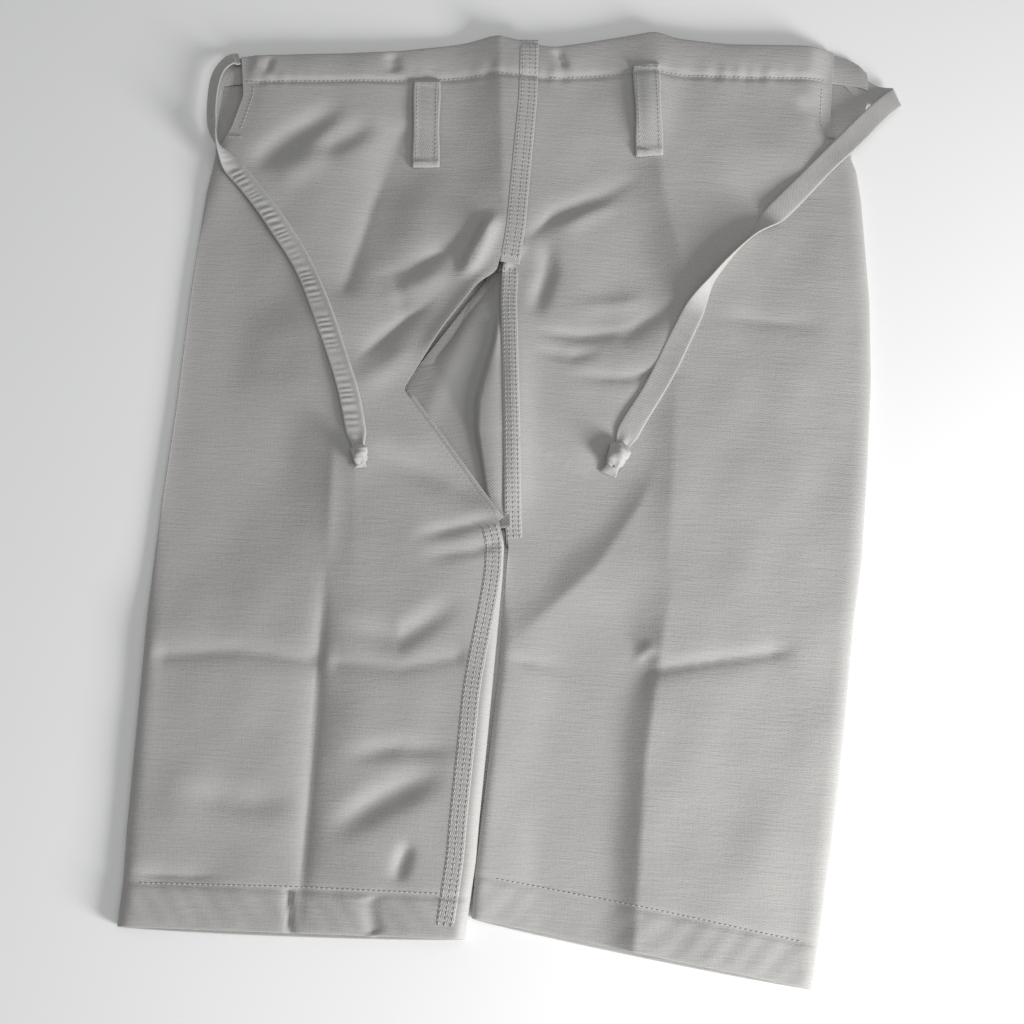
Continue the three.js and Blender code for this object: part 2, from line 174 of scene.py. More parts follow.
R, S, K = Profile.ROUND, Profile.SHARP, Profile.KINK
LEFT_FOLDS = (
    # Packing crease down the leg: a valley, a ridge under the cord, and a valley again.
    Fold(S, -3.1, 8, ((-98, -63), (-123, -133), (-143, -209)), 0.1),
    Fold(R, -3.1, 22, ((-88, -50), (-112, -133), (-132, -215))),
    Fold(S, 2.1, 9, ((-145, -301), (-146, -360), (-147, -410))),
    Fold(S, -3.4, 5, ((-148, -395), (-150, -460), (-152, -526), (-158, -660)), 0.25),
    Fold(R, -2.2, 18, ((-150, -440), (-152, -526), (-156, -630))),
    # Packing crease across the leg.
    Fold(S, -3.4, 6, ((-267, -469), (-204, -465), (-146, -474)), 0.1),
    Fold(S, -2.1, 5, ((-146, -474), (-95, -478), (-48, -469)), 0.1),
    # The cloth hangs down from the centre strip, and twists where the strip ends.
    Fold(K, -7.5, 36, ((-31, 70), (-29, 0), (-28, -63), (-25, -165)), 0.3),
    Fold(R, 7.2, 6, ((-30, -138), (-42, -166), (-56, -196)), 0.3),
    Fold(S, -3.2, 4, ((-38, -136), (-50, -160), (-63, -190))),
    # Drag folds from the crotch towards the waist.
    Fold(S, -4.4, 6, ((-128, -193), (-94, -186), (-65, -168), (-34, -140))),
    Fold(R, 2.4, 9, ((-118, -206), (-84, -198), (-60, -182))),
    Fold(S, -4.7, 6, ((-134, -258), (-111, -239), (-93, -222), (-72, -208))),
    Fold(S, -2.6, 7, ((-106, -186), (-99, -209), (-93, -222))),
    Fold(R, 2.2, 10, ((-138, -282), (-108, -262), (-84, -238))),
    # Slanting folds under the left end of the waist.
    Fold(R, -5.3, 9, ((-222, -108), (-179, -73), (-142, -45))),
    Fold(R, -3.6, 9, ((-170, -94), (-120, -62))),
    Fold(R, 2.2, 10, ((-200, -120), (-150, -82))),
    # Everything outside the cord slopes down to the outer edge.
    Fold(K, -8.0, 95, ((-232, -40), (-213, -101), (-170, -193), (-142, -270), (-130, -334),
                       (-128, -470)), 0.3),
    # A broad swell down the leg, and hollows below the gusset.
    Fold(R, 4.2, 45, ((-168, -201), (-168, -308))),
    Fold(R, -5.0, 11, ((-124, -322), (-63, -345), (-16, -370))),
    Fold(R, -2.6, 4, ((-92, -388), (-60, -381), (-20, -371))),
    Fold(R, -1.9, 4, ((-84, -402), (-50, -397), (-20, -390))),
    Fold(R, -3.4, 8, ((-140, -445), (-96, -459), (-50, -428))),
    # Slack folds of the lower leg.
    Fold(R, -4.8, 9, ((-146, -590), (-104, -565), (-60, -545))),
    Fold(R, -2.9, 6, ((-137, -537), (-94, -531), (-50, -534))),
    Fold(R, -2.9, 9, ((-246, -557), (-200, -566), (-156, -568))),
    Fold(S, -3.1, 4, ((-274, -612), (-205, -615))),
    Fold(R, -3.1, 5, ((-86, -590), (-96, -620))),
    # The loose edge that stands up over the gusset's top.
    Fold(R, 2.4, 6, ((-26, -176), (-46, -200), (-66, -228), (-88, -262)), 0.3),
    # The leg stands highest near its inner side.
    Fold(R, 4.0, 85, ((-62, 40), (-70, -700)), 0.02),
    # The rolled end of the waistband, dents in its tunnel, and a tuck in the hem.
    Fold(R, 2.4, 3.5, ((-217, -2), (-214, -14), (-219, -30))),
    Fold(R, -2.2, 3, ((-203, -8), (-206, -26))),
    Fold(R, -2.9, 5, ((-112, -4), (-108, -24))),
    Fold(S, -3.1, 2, ((-165, -622), (-163, -652)), 0.03),
    Fold(R, -1.7, 5, ((-112, -628), (-108, -650)), 0.03),
)
RIGHT_FOLDS = (
    # Packing crease down the leg: the cloth falls away on its inner side.
    Fold(K, -4.5, 26, ((87, -40), (88, -70), (93, -123), (118, -240)), 0.3),
    Fold(K, -2.6, 22, ((99, -250), (93, -345), (86, -430)), 0.3),
    Fold(K, -8.6, 32, ((94, -400), (84, -450), (69, -539), (54, -720)), 0.25),
    Fold(R, -1.9, 12, ((0, -560), (8, -690)), 0.3),
    # Packing crease across the leg, and the dint where the two creases cross.
    Fold(S, -3.1, 4, ((-28, -469), (13, -478), (60, -482), (77, -479), (121, -472), (176, -465)), 0.1),
    Fold(S, -5.6, 5, ((52, -496), (78, -463))),
    Fold(R, 3.0, 4.5, ((60, -476), (80, -460))),
    # A long valley from under the knot to the crotch.
    Fold(K, -7.0, 30, ((90, -318), (70, -362), (38, -408), (-30, -468)), 0.3),
    # Drag folds that spread from the top of the gusset.
    Fold(S, -5.5, 5, ((-16, -166), (12, -141), (46, -125), (79, -106))),
    Fold(R, 1.9, 6, ((10, -156), (40, -138), (66, -128))),
    Fold(R, -4.3, 6, ((5, -158), (7, -186), (-5, -225))),
    Fold(S, -3.6, 4, ((-8, -233), (29, -237), (58, -234), (77, -226))),
    Fold(R, -2.2, 4, ((-7, -246), (22, -253), (47, -249))),
    Fold(S, -2.9, 3, ((15, -267), (58, -269), (108, -265))),
    Fold(R, 1.9, 6, ((20, -214), (60, -212), (84, -206))),
    Fold(S, -3.4, 6, ((52, -246), (76, -226), (110, -203))),
    # Hollows and swells near the waist.
    Fold(R, -3.1, 6, ((196, -42), (222, -75))),
    Fold(R, 4.8, 15, ((90, 11), (85, -46), (76, -101))),
    Fold(R, -3.6, 22, ((145, -142), (195, -97))),
    Fold(S, -1.8, 5, ((116, -219), (160, -225), (211, -231))),
    Fold(R, -3.1, 3, ((13, -2), (22, -22))),
    # The lip where the centre seam passes over the gusset's top.
    Fold(R, 2.6, 3, ((-31, -190), (-20, -176), (-9, -160))),
    Fold(R, -2.9, 3, ((-26, -176), (-14, -160))),
    # The roll of cloth beside the gusset.
    Fold(R, 3.6, 11, ((-20, -196), (-18, -300), (-18, -385))),
)


@dataclass
class Relief:
    """The heights of the two layers of cloth over the whole plan."""

    front: float = 9.0
    back: float = 0.4
    band_depth: float = 28.0
    least: float = 3.0
    most: float = 18.0
    ripples: int = 14
    seed: int = 7

    def __post_init__(self) -> None:
        """Draws the directions, lengths and phases of the faint ripples in the cloth."""
        rng = np.random.default_rng(self.seed)
        angle = rng.uniform(0.0, math.pi, self.ripples)
        length = rng.uniform(22.0, 95.0, self.ripples)
        self.wave_x = 2.0 * math.pi * np.cos(angle) / length
        self.wave_y = 2.0 * math.pi * np.sin(angle) / length
        self.phase = rng.uniform(0.0, 2.0 * math.pi, self.ripples)
        self.size = 0.0021 * length

    def top_edge(self, x: Array) -> Array:
        """How far the waist's top edge waves up or down, from heights listed along it."""
        places = (-240, -225, -158, -105, -60, -33, -10, 13, 55, 90, 106, 147, 200, 222, 243, 254)
        heights = (-14, -9, -7, -4, 3, 8, 2, -2, 6, 12, 6, 1, 0, -2, -10, -26)
        shifted = [np.interp(x + offset, places, heights) for offset in (-4.0, 0.0, 4.0)]
        return sum(shifted) / 3.0

    def ripple(self, x: Array, y: Array) -> Array:
        """A sum of faint sine waves in seeded directions: unevenness of cloth that was folded."""
        total = np.zeros(np.shape(x))
        for kx, ky, phase, size in zip(self.wave_x, self.wave_y, self.phase, self.size):
            total = total + size * np.sin(kx * x + ky * y + phase)
        return total

    def stitch_line(self, x: Array) -> Array:
        """Where the waistband's stitching runs: it follows the top edge's waves by less than half."""
        return 0.38 * self.top_edge(x) - self.band_depth + 0.8

    def pucker(self, x: Array, depth: Array) -> Array:
        """Gathers along the waistband's stitching.

        Two sine waves of unlike length, with drifting phase, run along the band; they are highest
        at the stitching and fade above and below it. The stitching itself pulls a groove, and the
        tunnel above it swells as half a sine.

        Args:
            x: plan x.
            depth: distance below the waist's top edge.

        Returns:
            Height in millimetres.
        """
        drift = 2.2 * np.sin(x / 31.0) + 1.3 * np.sin(x / 13.0 + 1.0)
        gather = np.sin(x / 2.1 + drift) + 0.9 * np.sin(x / 3.9 - 0.6 * drift)
        patchy = 0.55 + 0.45 * np.sin(x / 17.0 + 2.0 * np.sin(x / 41.0))
        near = np.exp(-(((depth - self.band_depth + 2.0) / 6.5) ** 2))
        groove = -1.3 * np.exp(-(((depth - self.band_depth) / 2.6) ** 2))
        tunnel = 1.3 * np.sin(np.pi * np.clip(depth / self.band_depth, 0.0, 1.0)) ** 0.7
        folds = 0.5 * patchy * gather * near
        return groove + tunnel + folds

    def hem(self, x: Array, up: Array, side: int) -> Array:
        """The hem's stitched groove, and slanting puckers between it and the edge.

        Args:
            x: plan x.
            up: distance above the hem's edge.
            side: -1 for the left leg, 1 for the right leg.

        Returns:
            Height in millimetres.
        """
        groove = -0.8 * np.exp(-(((up - 27.0) / 2.4) ** 2))
        inside = ease(0.0, 5.0, up) * (1.0 - ease(24.0, 30.0, up))
        slant = np.sin((x + side * -0.8 * up) / 2.6 + 1.2 * np.sin(x / 19.0))
        return groove + (0.13 * slant + 0.4) * inside

    def front_height(self, x: Array, y: Array, side: int) -> Array:
        """Height of the front layer's upper surface.

        All the parts are added, and a smooth hyperbola keeps the sum from going under 3 mm.

        Args:
            x: plan x.
            y: plan y.
            side: -1 for the left leg, 1 for the right leg.

        Returns:
            Height above the floor in millimetres.
        """
        top = self.top_edge(x)
        depth = self.band_depth * (top - y) / (top - self.stitch_line(x))
        total = self.front + self.ripple(x, y) + self.pucker(x, depth)
        for fold in LEFT_FOLDS if side < 0 else RIGHT_FOLDS:
            total = total + fold.relief(x, y)
        edge = -650.0 - 0.045 * (x + 160.0) if side < 0 else -647.5 - 0.199 * (x + 9.0)
        total = total + self.hem(x, y - edge, side)
        above = total - self.least
        return np.minimum(self.least + 0.5 * (above + np.sqrt(above**2 + 5.0)), self.most)

    def back_height(self, x: Array, y: Array) -> Array:
        """Height of the back layer's under surface, which lies on the floor."""
        return self.back + 0.25 + 0.25 * np.sin(x / 23.0 + 1.0) * np.sin(y / 31.0)


RELIEF = Relief()


# ---------------------------------------------------------------------------------- meshes


def make_object(name: str, points: Array, faces: list[list[int]]) -> bpy.types.Object:
    """A mesh object from points of the plan.

    Args:
        name: the piece's name.
        points: one row of x, y, z each, in millimetres of the plan.
        faces: corner numbers of each face.

    Returns:
        The object, at the origin, with its faces shaded smooth.
    """
    mesh = bpy.data.meshes.new(name)
    mesh.from_pydata(in_row(points).tolist(), [], faces)
    mesh.polygons.foreach_set("use_smooth", [True] * len(mesh.polygons))
    mesh.update()
    piece = bpy.data.objects.new(name, mesh)
    bpy.context.scene.collection.objects.link(piece)
    return piece


def outward(piece: bpy.types.Object) -> bpy.types.Object:
    """Turns the faces of a closed mesh outwards."""
    work = bmesh.new()
    work.from_mesh(piece.data)
    bmesh.ops.recalc_face_normals(work, faces=work.faces)
    work.to_mesh(piece.data)
    work.free()
    return piece


def grid_faces(ids: Array, flip: bool = False) -> list[list[int]]:
    """Four-cornered faces between neighbouring entries of a grid of point numbers."""
    corners = [ids[:-1, :-1], ids[:-1, 1:], ids[1:, 1:], ids[1:, :-1]]
    if flip:
        corners.reverse()
    return np.stack([c.ravel() for c in corners], axis=1).tolist()


def loft(name: str, rings: Array) -> bpy.types.Object:
    """A closed body through a row of rings, with both ends capped.

    Args:
        name: the piece's name.
        rings: an array of shape (rings, points in a ring, 3).

    Returns:
        The object, with its faces outwards.
    """
    count, size = rings.shape[:2]
    ids = np.arange(count * size).reshape(count, size)
    faces = grid_faces(np.concatenate([ids, ids[:, :1]], axis=1))
    faces += [ids[0, ::-1].tolist(), ids[-1].tolist()]
    return outward(make_object(name, rings.reshape(-1, 3), faces))


def set_uv(piece: bpy.types.Object, u: Array, v: Array) -> None:
    """Writes a UV map, in metres along and across a piece, from a value at each point."""
    mesh = piece.data
    corner = np.zeros(len(mesh.loops), np.int64)
    mesh.loops.foreach_get("vertex_index", corner)
    layer = mesh.uv_layers.new(name="Along")
    layer.data.foreach_set("uv", np.stack([u[corner], v[corner]], axis=1).astype(np.float32).ravel())


def side_vectors(line: Array) -> Array:
    """Unit vectors to the left of a plan line, from the difference of each point's neighbours."""
    along = np.gradient(line[:, :2], axis=0)
    along /= np.linalg.norm(along, axis=1, keepdims=True)
    return np.stack([-along[:, 1], along[:, 0]], axis=1)


Surface = Callable[[Array, Array], Array]


@dataclass(frozen=True)
class Stitch:
    """One lockstitch: a short rounded length of thread that dips into the cloth at both ends."""

    length: float = 2.3
    gap: float = 1.1
    width: float = 0.72
    height: float = 0.3

    def template(self) -> tuple[Array, tuple[Array, Array]]:
        """Points and faces of one stitch, along x, with z up.

        Rings of six points follow a low arch: the ring's size and height are sines of its place.

        Returns:
            The points, and the faces as an array of four-cornered sides and one of two end caps.
        """
        place = np.array([0.0, 0.22, 0.5, 0.78, 1.0])
        size = np.array([0.55, 0.95, 1.0, 0.95, 0.55])
        angle = np.arange(6) * math.pi / 3.0
        x = (place[:, None] - 0.5) * self.length + 0.0 * angle
        y = 0.5 * self.width * size[:, None] * np.cos(angle)
        arch = self.height * np.sin(math.pi * place)[:, None]
        z = 0.5 * self.width * size[:, None] * np.sin(angle) + arch * 0.55 - 0.12
        points = np.stack([x, y, z], axis=2).reshape(-1, 3)
        ids = np.arange(len(points)).reshape(5, 6)
        sides = np.array(grid_faces(np.concatenate([ids, ids[:, :1]], axis=1)))
        return points, (sides, np.stack([ids[0, ::-1], ids[-1]]))

    def sew(self, name: str, places: Array, along: Array, up: Array) -> bpy.types.Object:
        """Many stitches as one piece.

        Every template point p becomes place + along*p.x + across*p.y + up*p.z, for all stitches
        at once.

        Args:
            name: the piece's name.
            places: middle of each stitch.
            along: unit vector along each stitch.
            up: unit vector off the cloth at each stitch.

        Returns:
            The object.
        """
        points, groups = self.template()
        across = np.cross(up, along)
        every = (places[:, None] + along[:, None] * points[None, :, :1]
                 + across[:, None] * points[None, :, 1:2] + up[:, None] * points[None, :, 2:])
        first = np.arange(len(places))[:, None, None] * len(points)
        faces = [face for group in groups for face in (group + first).reshape(-1, group.shape[1]).tolist()]
        return outward(make_object(name, every.reshape(-1, 3), faces))

    def rows(self, name: str, lines: Sequence[Sequence[Point]], on: Surface,
             lift: float) -> bpy.types.Object:
        """Rows of stitches along plan lines, lying on a surface.

        The surface's slope, from its heights half a millimetre apart, tilts each stitch.

        Args:
            name: the piece's name.
            lines: one list of plan points for each row.
            on: the surface.
            lift: height over the surface.

        Returns:
            The object.
        """
        plans, heads = [], []
        for line in lines:
            path = resample(line, self.length + self.gap)
            along = np.gradient(path, axis=0)
            plans.append(path[1:-1])
            heads.append(along[1:-1] / np.linalg.norm(along[1:-1], axis=1, keepdims=True))
        return self.on_surface(name, np.concatenate(plans), np.concatenate(heads), on, lift)

    def on_surface(self, name: str, plan: Array, head: Array, on: Surface,
                   lift: float) -> bpy.types.Object:
        """Stitches at plan points, tilted to the slope of the surface under them.

        The slope is the change in height over one millimetre about each point.

        Args:
            name: the piece's name.
            plan: plan points, one for each stitch.
            head: direction of each stitch in the plan.
            on: the surface.
            lift: height over the surface.

        Returns:
            The object.
        """
        x, y = plan[:, 0], plan[:, 1]
        slope_x = on(x + 0.5, y) - on(x - 0.5, y)
        slope_y = on(x, y + 0.5) - on(x, y - 0.5)
        up = np.stack([-slope_x, -slope_y, np.ones_like(x)], axis=1)
        up /= np.linalg.norm(up, axis=1, keepdims=True)
        along = np.stack([head[:, 0], head[:, 1], slope_x * head[:, 0] + slope_y * head[:, 1]], axis=1)
        along /= np.linalg.norm(along, axis=1, keepdims=True)
        return self.sew(name, np.stack([x, y, on(x, y) + lift], axis=1), along, up)


@dataclass
class Band:
    """A flat folded seam that lies along a line on the cloth, with its rows of stitches."""

    name: str
    line: Sequence[Point]
    inner: float
    outer: float
    on: Surface
    rows: tuple[float, ...] = ()
    lift: float = 0.28
    ladder: float = 0.08
    pit: float = 0.31
    stitch: Stitch = field(default_factory=Stitch)

    def path(self) -> Array:
        """The line in quarters of a stitch."""
        return resample(self.line, (self.stitch.length + self.stitch.gap) / 4.0)

    def cloth(self) -> bpy.types.Object:
        """The folded cloth.

        Across, its height rises as an eased step within 1.4 mm of each edge. Along, a cosine with
        one wave for each stitch pulls a pit at every needle hole and a low ladder between rows.

        Returns:
            The object.
        """
        path = self.path()
        left = side_vectors(path)
        width = abs(self.outer - self.inner)
        across = np.linspace(0.0, width, max(int(width / 0.75), 6) + 1)
        offset = self.inner + np.sign(self.outer - self.inner) * across
        x = path[:, None, 0] + left[:, None, 0] * offset
        y = path[:, None, 1] + left[:, None, 1] * offset
        floor = self.on(x, y)
        wave = np.cos(np.arange(len(path)) * math.pi / 2.0)[:, None]
        rise = ease(-0.3, 1.3, across) * ease(-0.3, 1.3, width - across)
        pits = sum(np.exp(-(((offset - row) / 0.8) ** 2)) for row in self.rows) + 0.0 * across
        inside = ease(1.0, 3.0, across) * ease(1.0, 3.0, width - across)
        height = self.lift * rise - self.pit * pits * (0.5 + 0.5 * wave)
        height -= self.ladder * wave * inside * (1.0 - pits)
        ends = np.minimum(np.arange(len(path)), np.arange(len(path))[::-1])[:, None]
        height = (height + 0.7) * ease(0.0, 9.0, ends) - 0.7
        top = np.stack([x, y, floor + height], axis=2)
        under = np.stack([x[:, ::-3], y[:, ::-3], floor[:, ::-3] - 0.9], axis=2)
        return loft(self.name, np.concatenate([top, under], axis=1))

    def stitches(self, name: str) -> bpy.types.Object:
        """The rows of stitches, each stitch between two needle holes.

        Args:
            name: the piece's name.

        Returns:
            The object.
        """
        path = self.path()
        left = side_vectors(path)[6:-6:4]
        head = np.gradient(path, axis=0)[6:-6:4]
        head /= np.linalg.norm(head, axis=1, keepdims=True)
        middle = path[6:-6:4]
        plan = np.concatenate([middle + left * row for row in self.rows])
        along = np.concatenate([head for _ in self.rows])
        return self.stitch.on_surface(name, plan, along, self.on, self.lift + 0.05)


# ---------------------------------------------------------------------------------- finishes


class Graph:
    """A material's node tree, with one method that makes any node."""

    def __init__(self, name: str) -> None:
        """Starts an empty tree under a new material."""
        self.material = bpy.data.materials.new(name)
        self.material.use_nodes = True
        self.tree = self.material.node_tree
        self.tree.nodes.clear()

    def node(self, kind: str, settings: dict[str, object] | None = None,
             inputs: dict[object, object] | None = None) -> bpy.types.Node:
        """Makes a node.

        Args:
            kind: the node's type.
            settings: properties of the node, which are set first.
            inputs: values or sockets for its inputs, by name or number.

        Returns:
            The node.
        """
        made = self.tree.nodes.new(kind)
        for key, value in (settings or {}).items():
            setattr(made, key, value)
        for key, value in (inputs or {}).items():
            if isinstance(value, Value):
                value = value.socket
            if isinstance(value, bpy.types.NodeSocket):
                self.tree.links.new(value, made.inputs[key])
            else:
                made.inputs[key].default_value = value
        return made

    def value(self, kind: str, settings: dict[str, object] | None = None,
              inputs: dict[object, object] | None = None, output: object = 0) -> "Value":
        """Makes a node and returns one of its outputs, ready for sums."""
        return Value(self, self.node(kind, settings, inputs).outputs[output])

    def place(self, scale: tuple[float, float, float], turn: float = 0.0) -> "Value":
        """The piece's own coordinates, turned about z and then scaled."""
        where = self.value("ShaderNodeTexCoord", output="Object")
        turned = self.value("ShaderNodeMapping", {}, {"Vector": where, "Rotation": (0.0, 0.0, turn)})
        return self.scaled(turned, scale)

    def scaled(self, vector: "Value", scale: tuple[float, float, float]) -> "Value":
        """A vector times a scale, axis by axis."""
        return self.value("ShaderNodeVectorMath", {"operation": "MULTIPLY"}, {0: vector, 1: scale})

    def noise(self, where: "Value", scale: float, detail: float = 3.0) -> "Value":
        """Soft noise, from 0 to 1."""
        inputs = {"Vector": where, "Scale": scale, "Detail": detail, "Roughness": 0.6}
        return self.value("ShaderNodeTexNoise", {}, inputs, "Fac")

    def mix(self, factor: "Value", first: tuple[float, ...], second: tuple[float, ...]) -> "Value":
        """A colour between two colours."""
        settings = {"data_type": "RGBA"}
        return self.value("ShaderNodeMix", settings, {0: factor, 6: first, 7: second}, 2)

    def finish(self, colour: "Value", roughness: "Value", bump: "Value", depth: float,
               sheen: float) -> bpy.types.Material:
        """Joins the channels to one shader and returns the material."""
        normal = self.value("ShaderNodeBump", {}, {"Strength": 1.0, "Distance": depth, "Height": bump})
        inputs = {"Base Color": colour, "Roughness": roughness, "Normal": normal,
                  "Sheen Weight": sheen, "Sheen Roughness": 0.6, "Specular IOR Level": 0.25}
        shader = self.node("ShaderNodeBsdfPrincipled", {}, inputs)
        self.node("ShaderNodeOutputMaterial", {}, {"Surface": shader.outputs[0]})
        return self.material


class Value:
    """A number that a node gives. Sums with it add Math nodes."""

    def __init__(self, graph: Graph, socket: bpy.types.NodeSocket) -> None:
        """Wraps an output socket."""
        self.graph, self.socket = graph, socket

    def math(self, operation: str, *others: object) -> "Value":
        """Adds one Math node whose first input is this value."""
        inputs = {0: self, **{i + 1: other for i, other in enumerate(others)}}
        return self.graph.value("ShaderNodeMath", {"operation": operation}, inputs)

    def __add__(self, other: object) -> "Value":
        """self + other."""
        return self.math("ADD", other)

    def __mul__(self, other: object) -> "Value":
        """self * other."""
        return self.math("MULTIPLY", other)

    def __sub__(self, other: object) -> "Value":
        """self - other."""
        return self.math("SUBTRACT", other)

    def __rsub__(self, other: float) -> "Value":
        """other - self."""
        return (self * -1.0) + other

    __radd__, __rmul__ = __add__, __mul__

    def sine(self) -> "Value":
        """Sine of the value."""
        return self.math("SINE")

    def clamp(self, low: float, high: float) -> "Value":
        """The value scaled so that low gives 0 and high gives 1, and held between them."""
        inputs = {"Value": self, "From Min": low, "From Max": high}
        return self.graph.value("ShaderNodeMapRange", {"clamp": True}, inputs)

    def part(self, axis: int) -> "Value":
        """One part of a vector value."""
        return self.graph.value("ShaderNodeSeparateXYZ", {}, {0: self}, axis)


@dataclass(frozen=True)
class TwillFinish:
    """Off-white cotton twill: slanting ribs with painted shade in their grooves, uneven yarns and faint
    random differences of tone.
    """

    name: str
    light: tuple[float, float, float, float] = (0.475, 0.466, 0.451, 1.0)
    dark: tuple[float, float, float, float] = (0.378, 0.371, 0.360, 1.0)
    rib: float = 1.55
    slant: float = 0.42
    depth: float = 0.00023

    def material(self) -> bpy.types.Material:
        """Builds the material.

        The ribs are a sine across slanting lines, broken by noise that is stretched along the
        yarns. The same heights drive the bump and, faintly, the colour: the rib term paints shade
        into the rib grooves, while the yarns and slubs give the cloth's own uneven tone.

        Returns:
            The material.
        """
        g = Graph(self.name)
        pitch = 2.0 * math.pi / (self.rib * MM)
        plain = g.place((1.0, 1.0, 1.0))
        wobble = g.noise(plain, 60.0, 2.0)
        across = g.place((1.0, 1.0, 1.0), self.slant).part(1)
        ribs = (across * pitch + wobble * 9.0).sine() * 0.5 + 0.5
        yarns = g.noise(g.place((110.0, 1100.0, 300.0), self.slant * 0.25), 1.0, 2.0)
        crossing = g.noise(g.place((900.0, 160.0, 300.0)), 1.0, 1.0)
        grain = ribs * 0.45 + yarns * 0.9 + crossing * 0.35
        cloudy = g.noise(plain, 14.0, 4.0)
        slub = g.noise(g.place((55.0, 560.0, 60.0), self.slant * 0.2), 1.0, 2.0)
        grain = grain + slub * 1.25
        # Painted shade: the rib term darkens the rib grooves; the yarn, cloud and slub terms are the
        # cloth's own uneven tone.
        shade = (yarns * 0.26 + ribs * 0.10 + cloudy * 0.44 + slub * 0.34).clamp(0.12, 0.98)
        colour = g.mix(shade, self.dark, self.light)
        roughness = 0.97 - yarns * 0.10
        return g.finish(colour, roughness, grain, self.depth, 0.12)


@dataclass(frozen=True)
class TapeFinish:
    """Flat cotton tape: folded twill with pressed wrinkles, their hollows and the twill grooves darkened
    as painted shade.
    """

    name: str
    light: tuple[float, float, float, float] = (0.50, 0.493, 0.48, 1.0)
    dark: tuple[float, float, float, float] = (0.39, 0.384, 0.373, 1.0)

    def material(self) -> bpy.types.Material:
        """Builds the material from the tape's own lengthways and crossways coordinates."""
        g = Graph(self.name)
        uv = g.value("ShaderNodeUVMap", {"uv_map": "Along"})
        along, across = uv.part(0), uv.part(1)
        yarns = g.noise(g.scaled(uv, (260.0, 900.0, 1.0)), 1.0, 3.0)
        creases = g.noise(g.scaled(uv, (90.0, 60.0, 1.0)), 1.0, 2.0)
        twill = ((along + across) * (2.0 * math.pi / 0.0016)).sine() * 0.5 + 0.5
        height = yarns * 0.4 + creases * 1.2 + twill * 0.25
        # Painted shade: the crease and twill terms darken the wrinkle hollows and the twill grooves; the
        # yarn term is the tape's own uneven tone.
        shade = (yarns * 0.5 + creases * 0.5 + twill * 0.1).clamp(0.25, 0.85)
        colour = g.mix(shade, self.dark, self.light)
        return g.finish(colour, 0.95 - yarns * 0.1, height, 0.0003, 0.1)


@dataclass(frozen=True)
class ThreadFinish:
    """White sewing thread: twisted plies, a little shinier than the cloth."""

    name: str
    light: tuple[float, float, float, float] = (0.50, 0.493, 0.478, 1.0)
    dark: tuple[float, float, float, float] = (0.40, 0.394, 0.383, 1.0)

    def material(self) -> bpy.types.Material:
        """Builds the material: fine slanting plies, darkened between them as painted shade, over a soft
        random change of tone.
        """
        g = Graph(self.name)
        plies = (g.place((1.0, 1.0, 1.0), 0.8).part(0) * (2.0 * math.pi / 0.0006)).sine() * 0.5 + 0.5
        soft = g.noise(g.place((1.0, 1.0, 1.0)), 240.0, 2.0)
        # Painted shade: the ply term darkens the grooves between the plies; the soft noise is the thread's
        # own uneven tone.
        colour = g.mix((plies * 0.45 + soft * 0.6).clamp(0.2, 0.9), self.dark, self.light)
        return g.finish(colour, 0.8 - soft * 0.15, plies, 0.00008, 0.05)


@dataclass(frozen=True)
class PaperFinish:
    """The plain pale floor."""

    name: str = "floor_paper"

    def material(self) -> bpy.types.Material:
        """Builds the material: near white with a trace of unevenness."""
        g = Graph(self.name)
        soft = g.noise(g.place((1.0, 1.0, 1.0)), 3.0, 2.0)
        colour = g.mix(soft, (0.93, 0.93, 0.925, 1.0), (0.97, 0.97, 0.968, 1.0))
        return g.finish(colour, 0.9 + soft * 0.05, soft, 0.0001, 0.0)


@dataclass
class Wardrobe:
    """The materials, made once."""

    cotton: bpy.types.Material = field(default_factory=lambda: TwillFinish("cotton_twill").material())
    seam: bpy.types.Material = field(default_factory=lambda: TwillFinish(
        "seam_twill", light=(0.50, 0.493, 0.478, 1.0), dark=(0.395, 0.389, 0.378, 1.0),
        rib=1.2, slant=1.2, depth=0.0003).material())
    # Painted shade: the gusset is the same cotton, made darker to stand for the shade in its sunk
    # triangle; its other rib slant is its own grain.
    gusset: bpy.types.Material = field(default_factory=lambda: TwillFinish(
        "gusset_twill", light=(0.43, 0.423, 0.41, 1.0), dark=(0.34, 0.334, 0.323, 1.0),
        rib=1.5, slant=-0.7, depth=0.0002).material())
    tape: bpy.types.Material = field(default_factory=lambda: TapeFinish("tape_cotton").material())
    thread: bpy.types.Material = field(default_factory=lambda: ThreadFinish("sewing_thread").material())


def dress(piece: bpy.types.Object, material: bpy.types.Material, slot: str,
          *replaced: str) -> bpy.types.Object:
    """Gives a piece its material and hides the solids that it stands for.

    Args:
        piece: the piece.
        material: its material.
        slot: not used.
        replaced: names of the solids that it stands for.

    Returns:
        The same piece.
    """
    piece.data.materials.append(material)
    if replaced:
        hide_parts(*replaced)
    log.info("%s: %d faces", piece.name, len(piece.data.polygons))
    return piece


def pin(piece: bpy.types.Object, material: bpy.types.Material, slot: str, *replaced: str,
        body: str = "trousers") -> None:
    """Dresses a piece and lets it move with one body.

    Args:
        piece: the piece.
        material: its material.
        slot: the name of its material slot.
        replaced: names of the solids that it stands for.
        body: the body that carries it.
    """
    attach(dress(piece, material, slot, *replaced), body)


def across_crease(piece: bpy.types.Object) -> bpy.types.Object:
    """Bakes a piece's placement into its mesh and returns the piece."""
    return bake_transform(piece)


# ---------------------------------------------------------------------------------- cloth

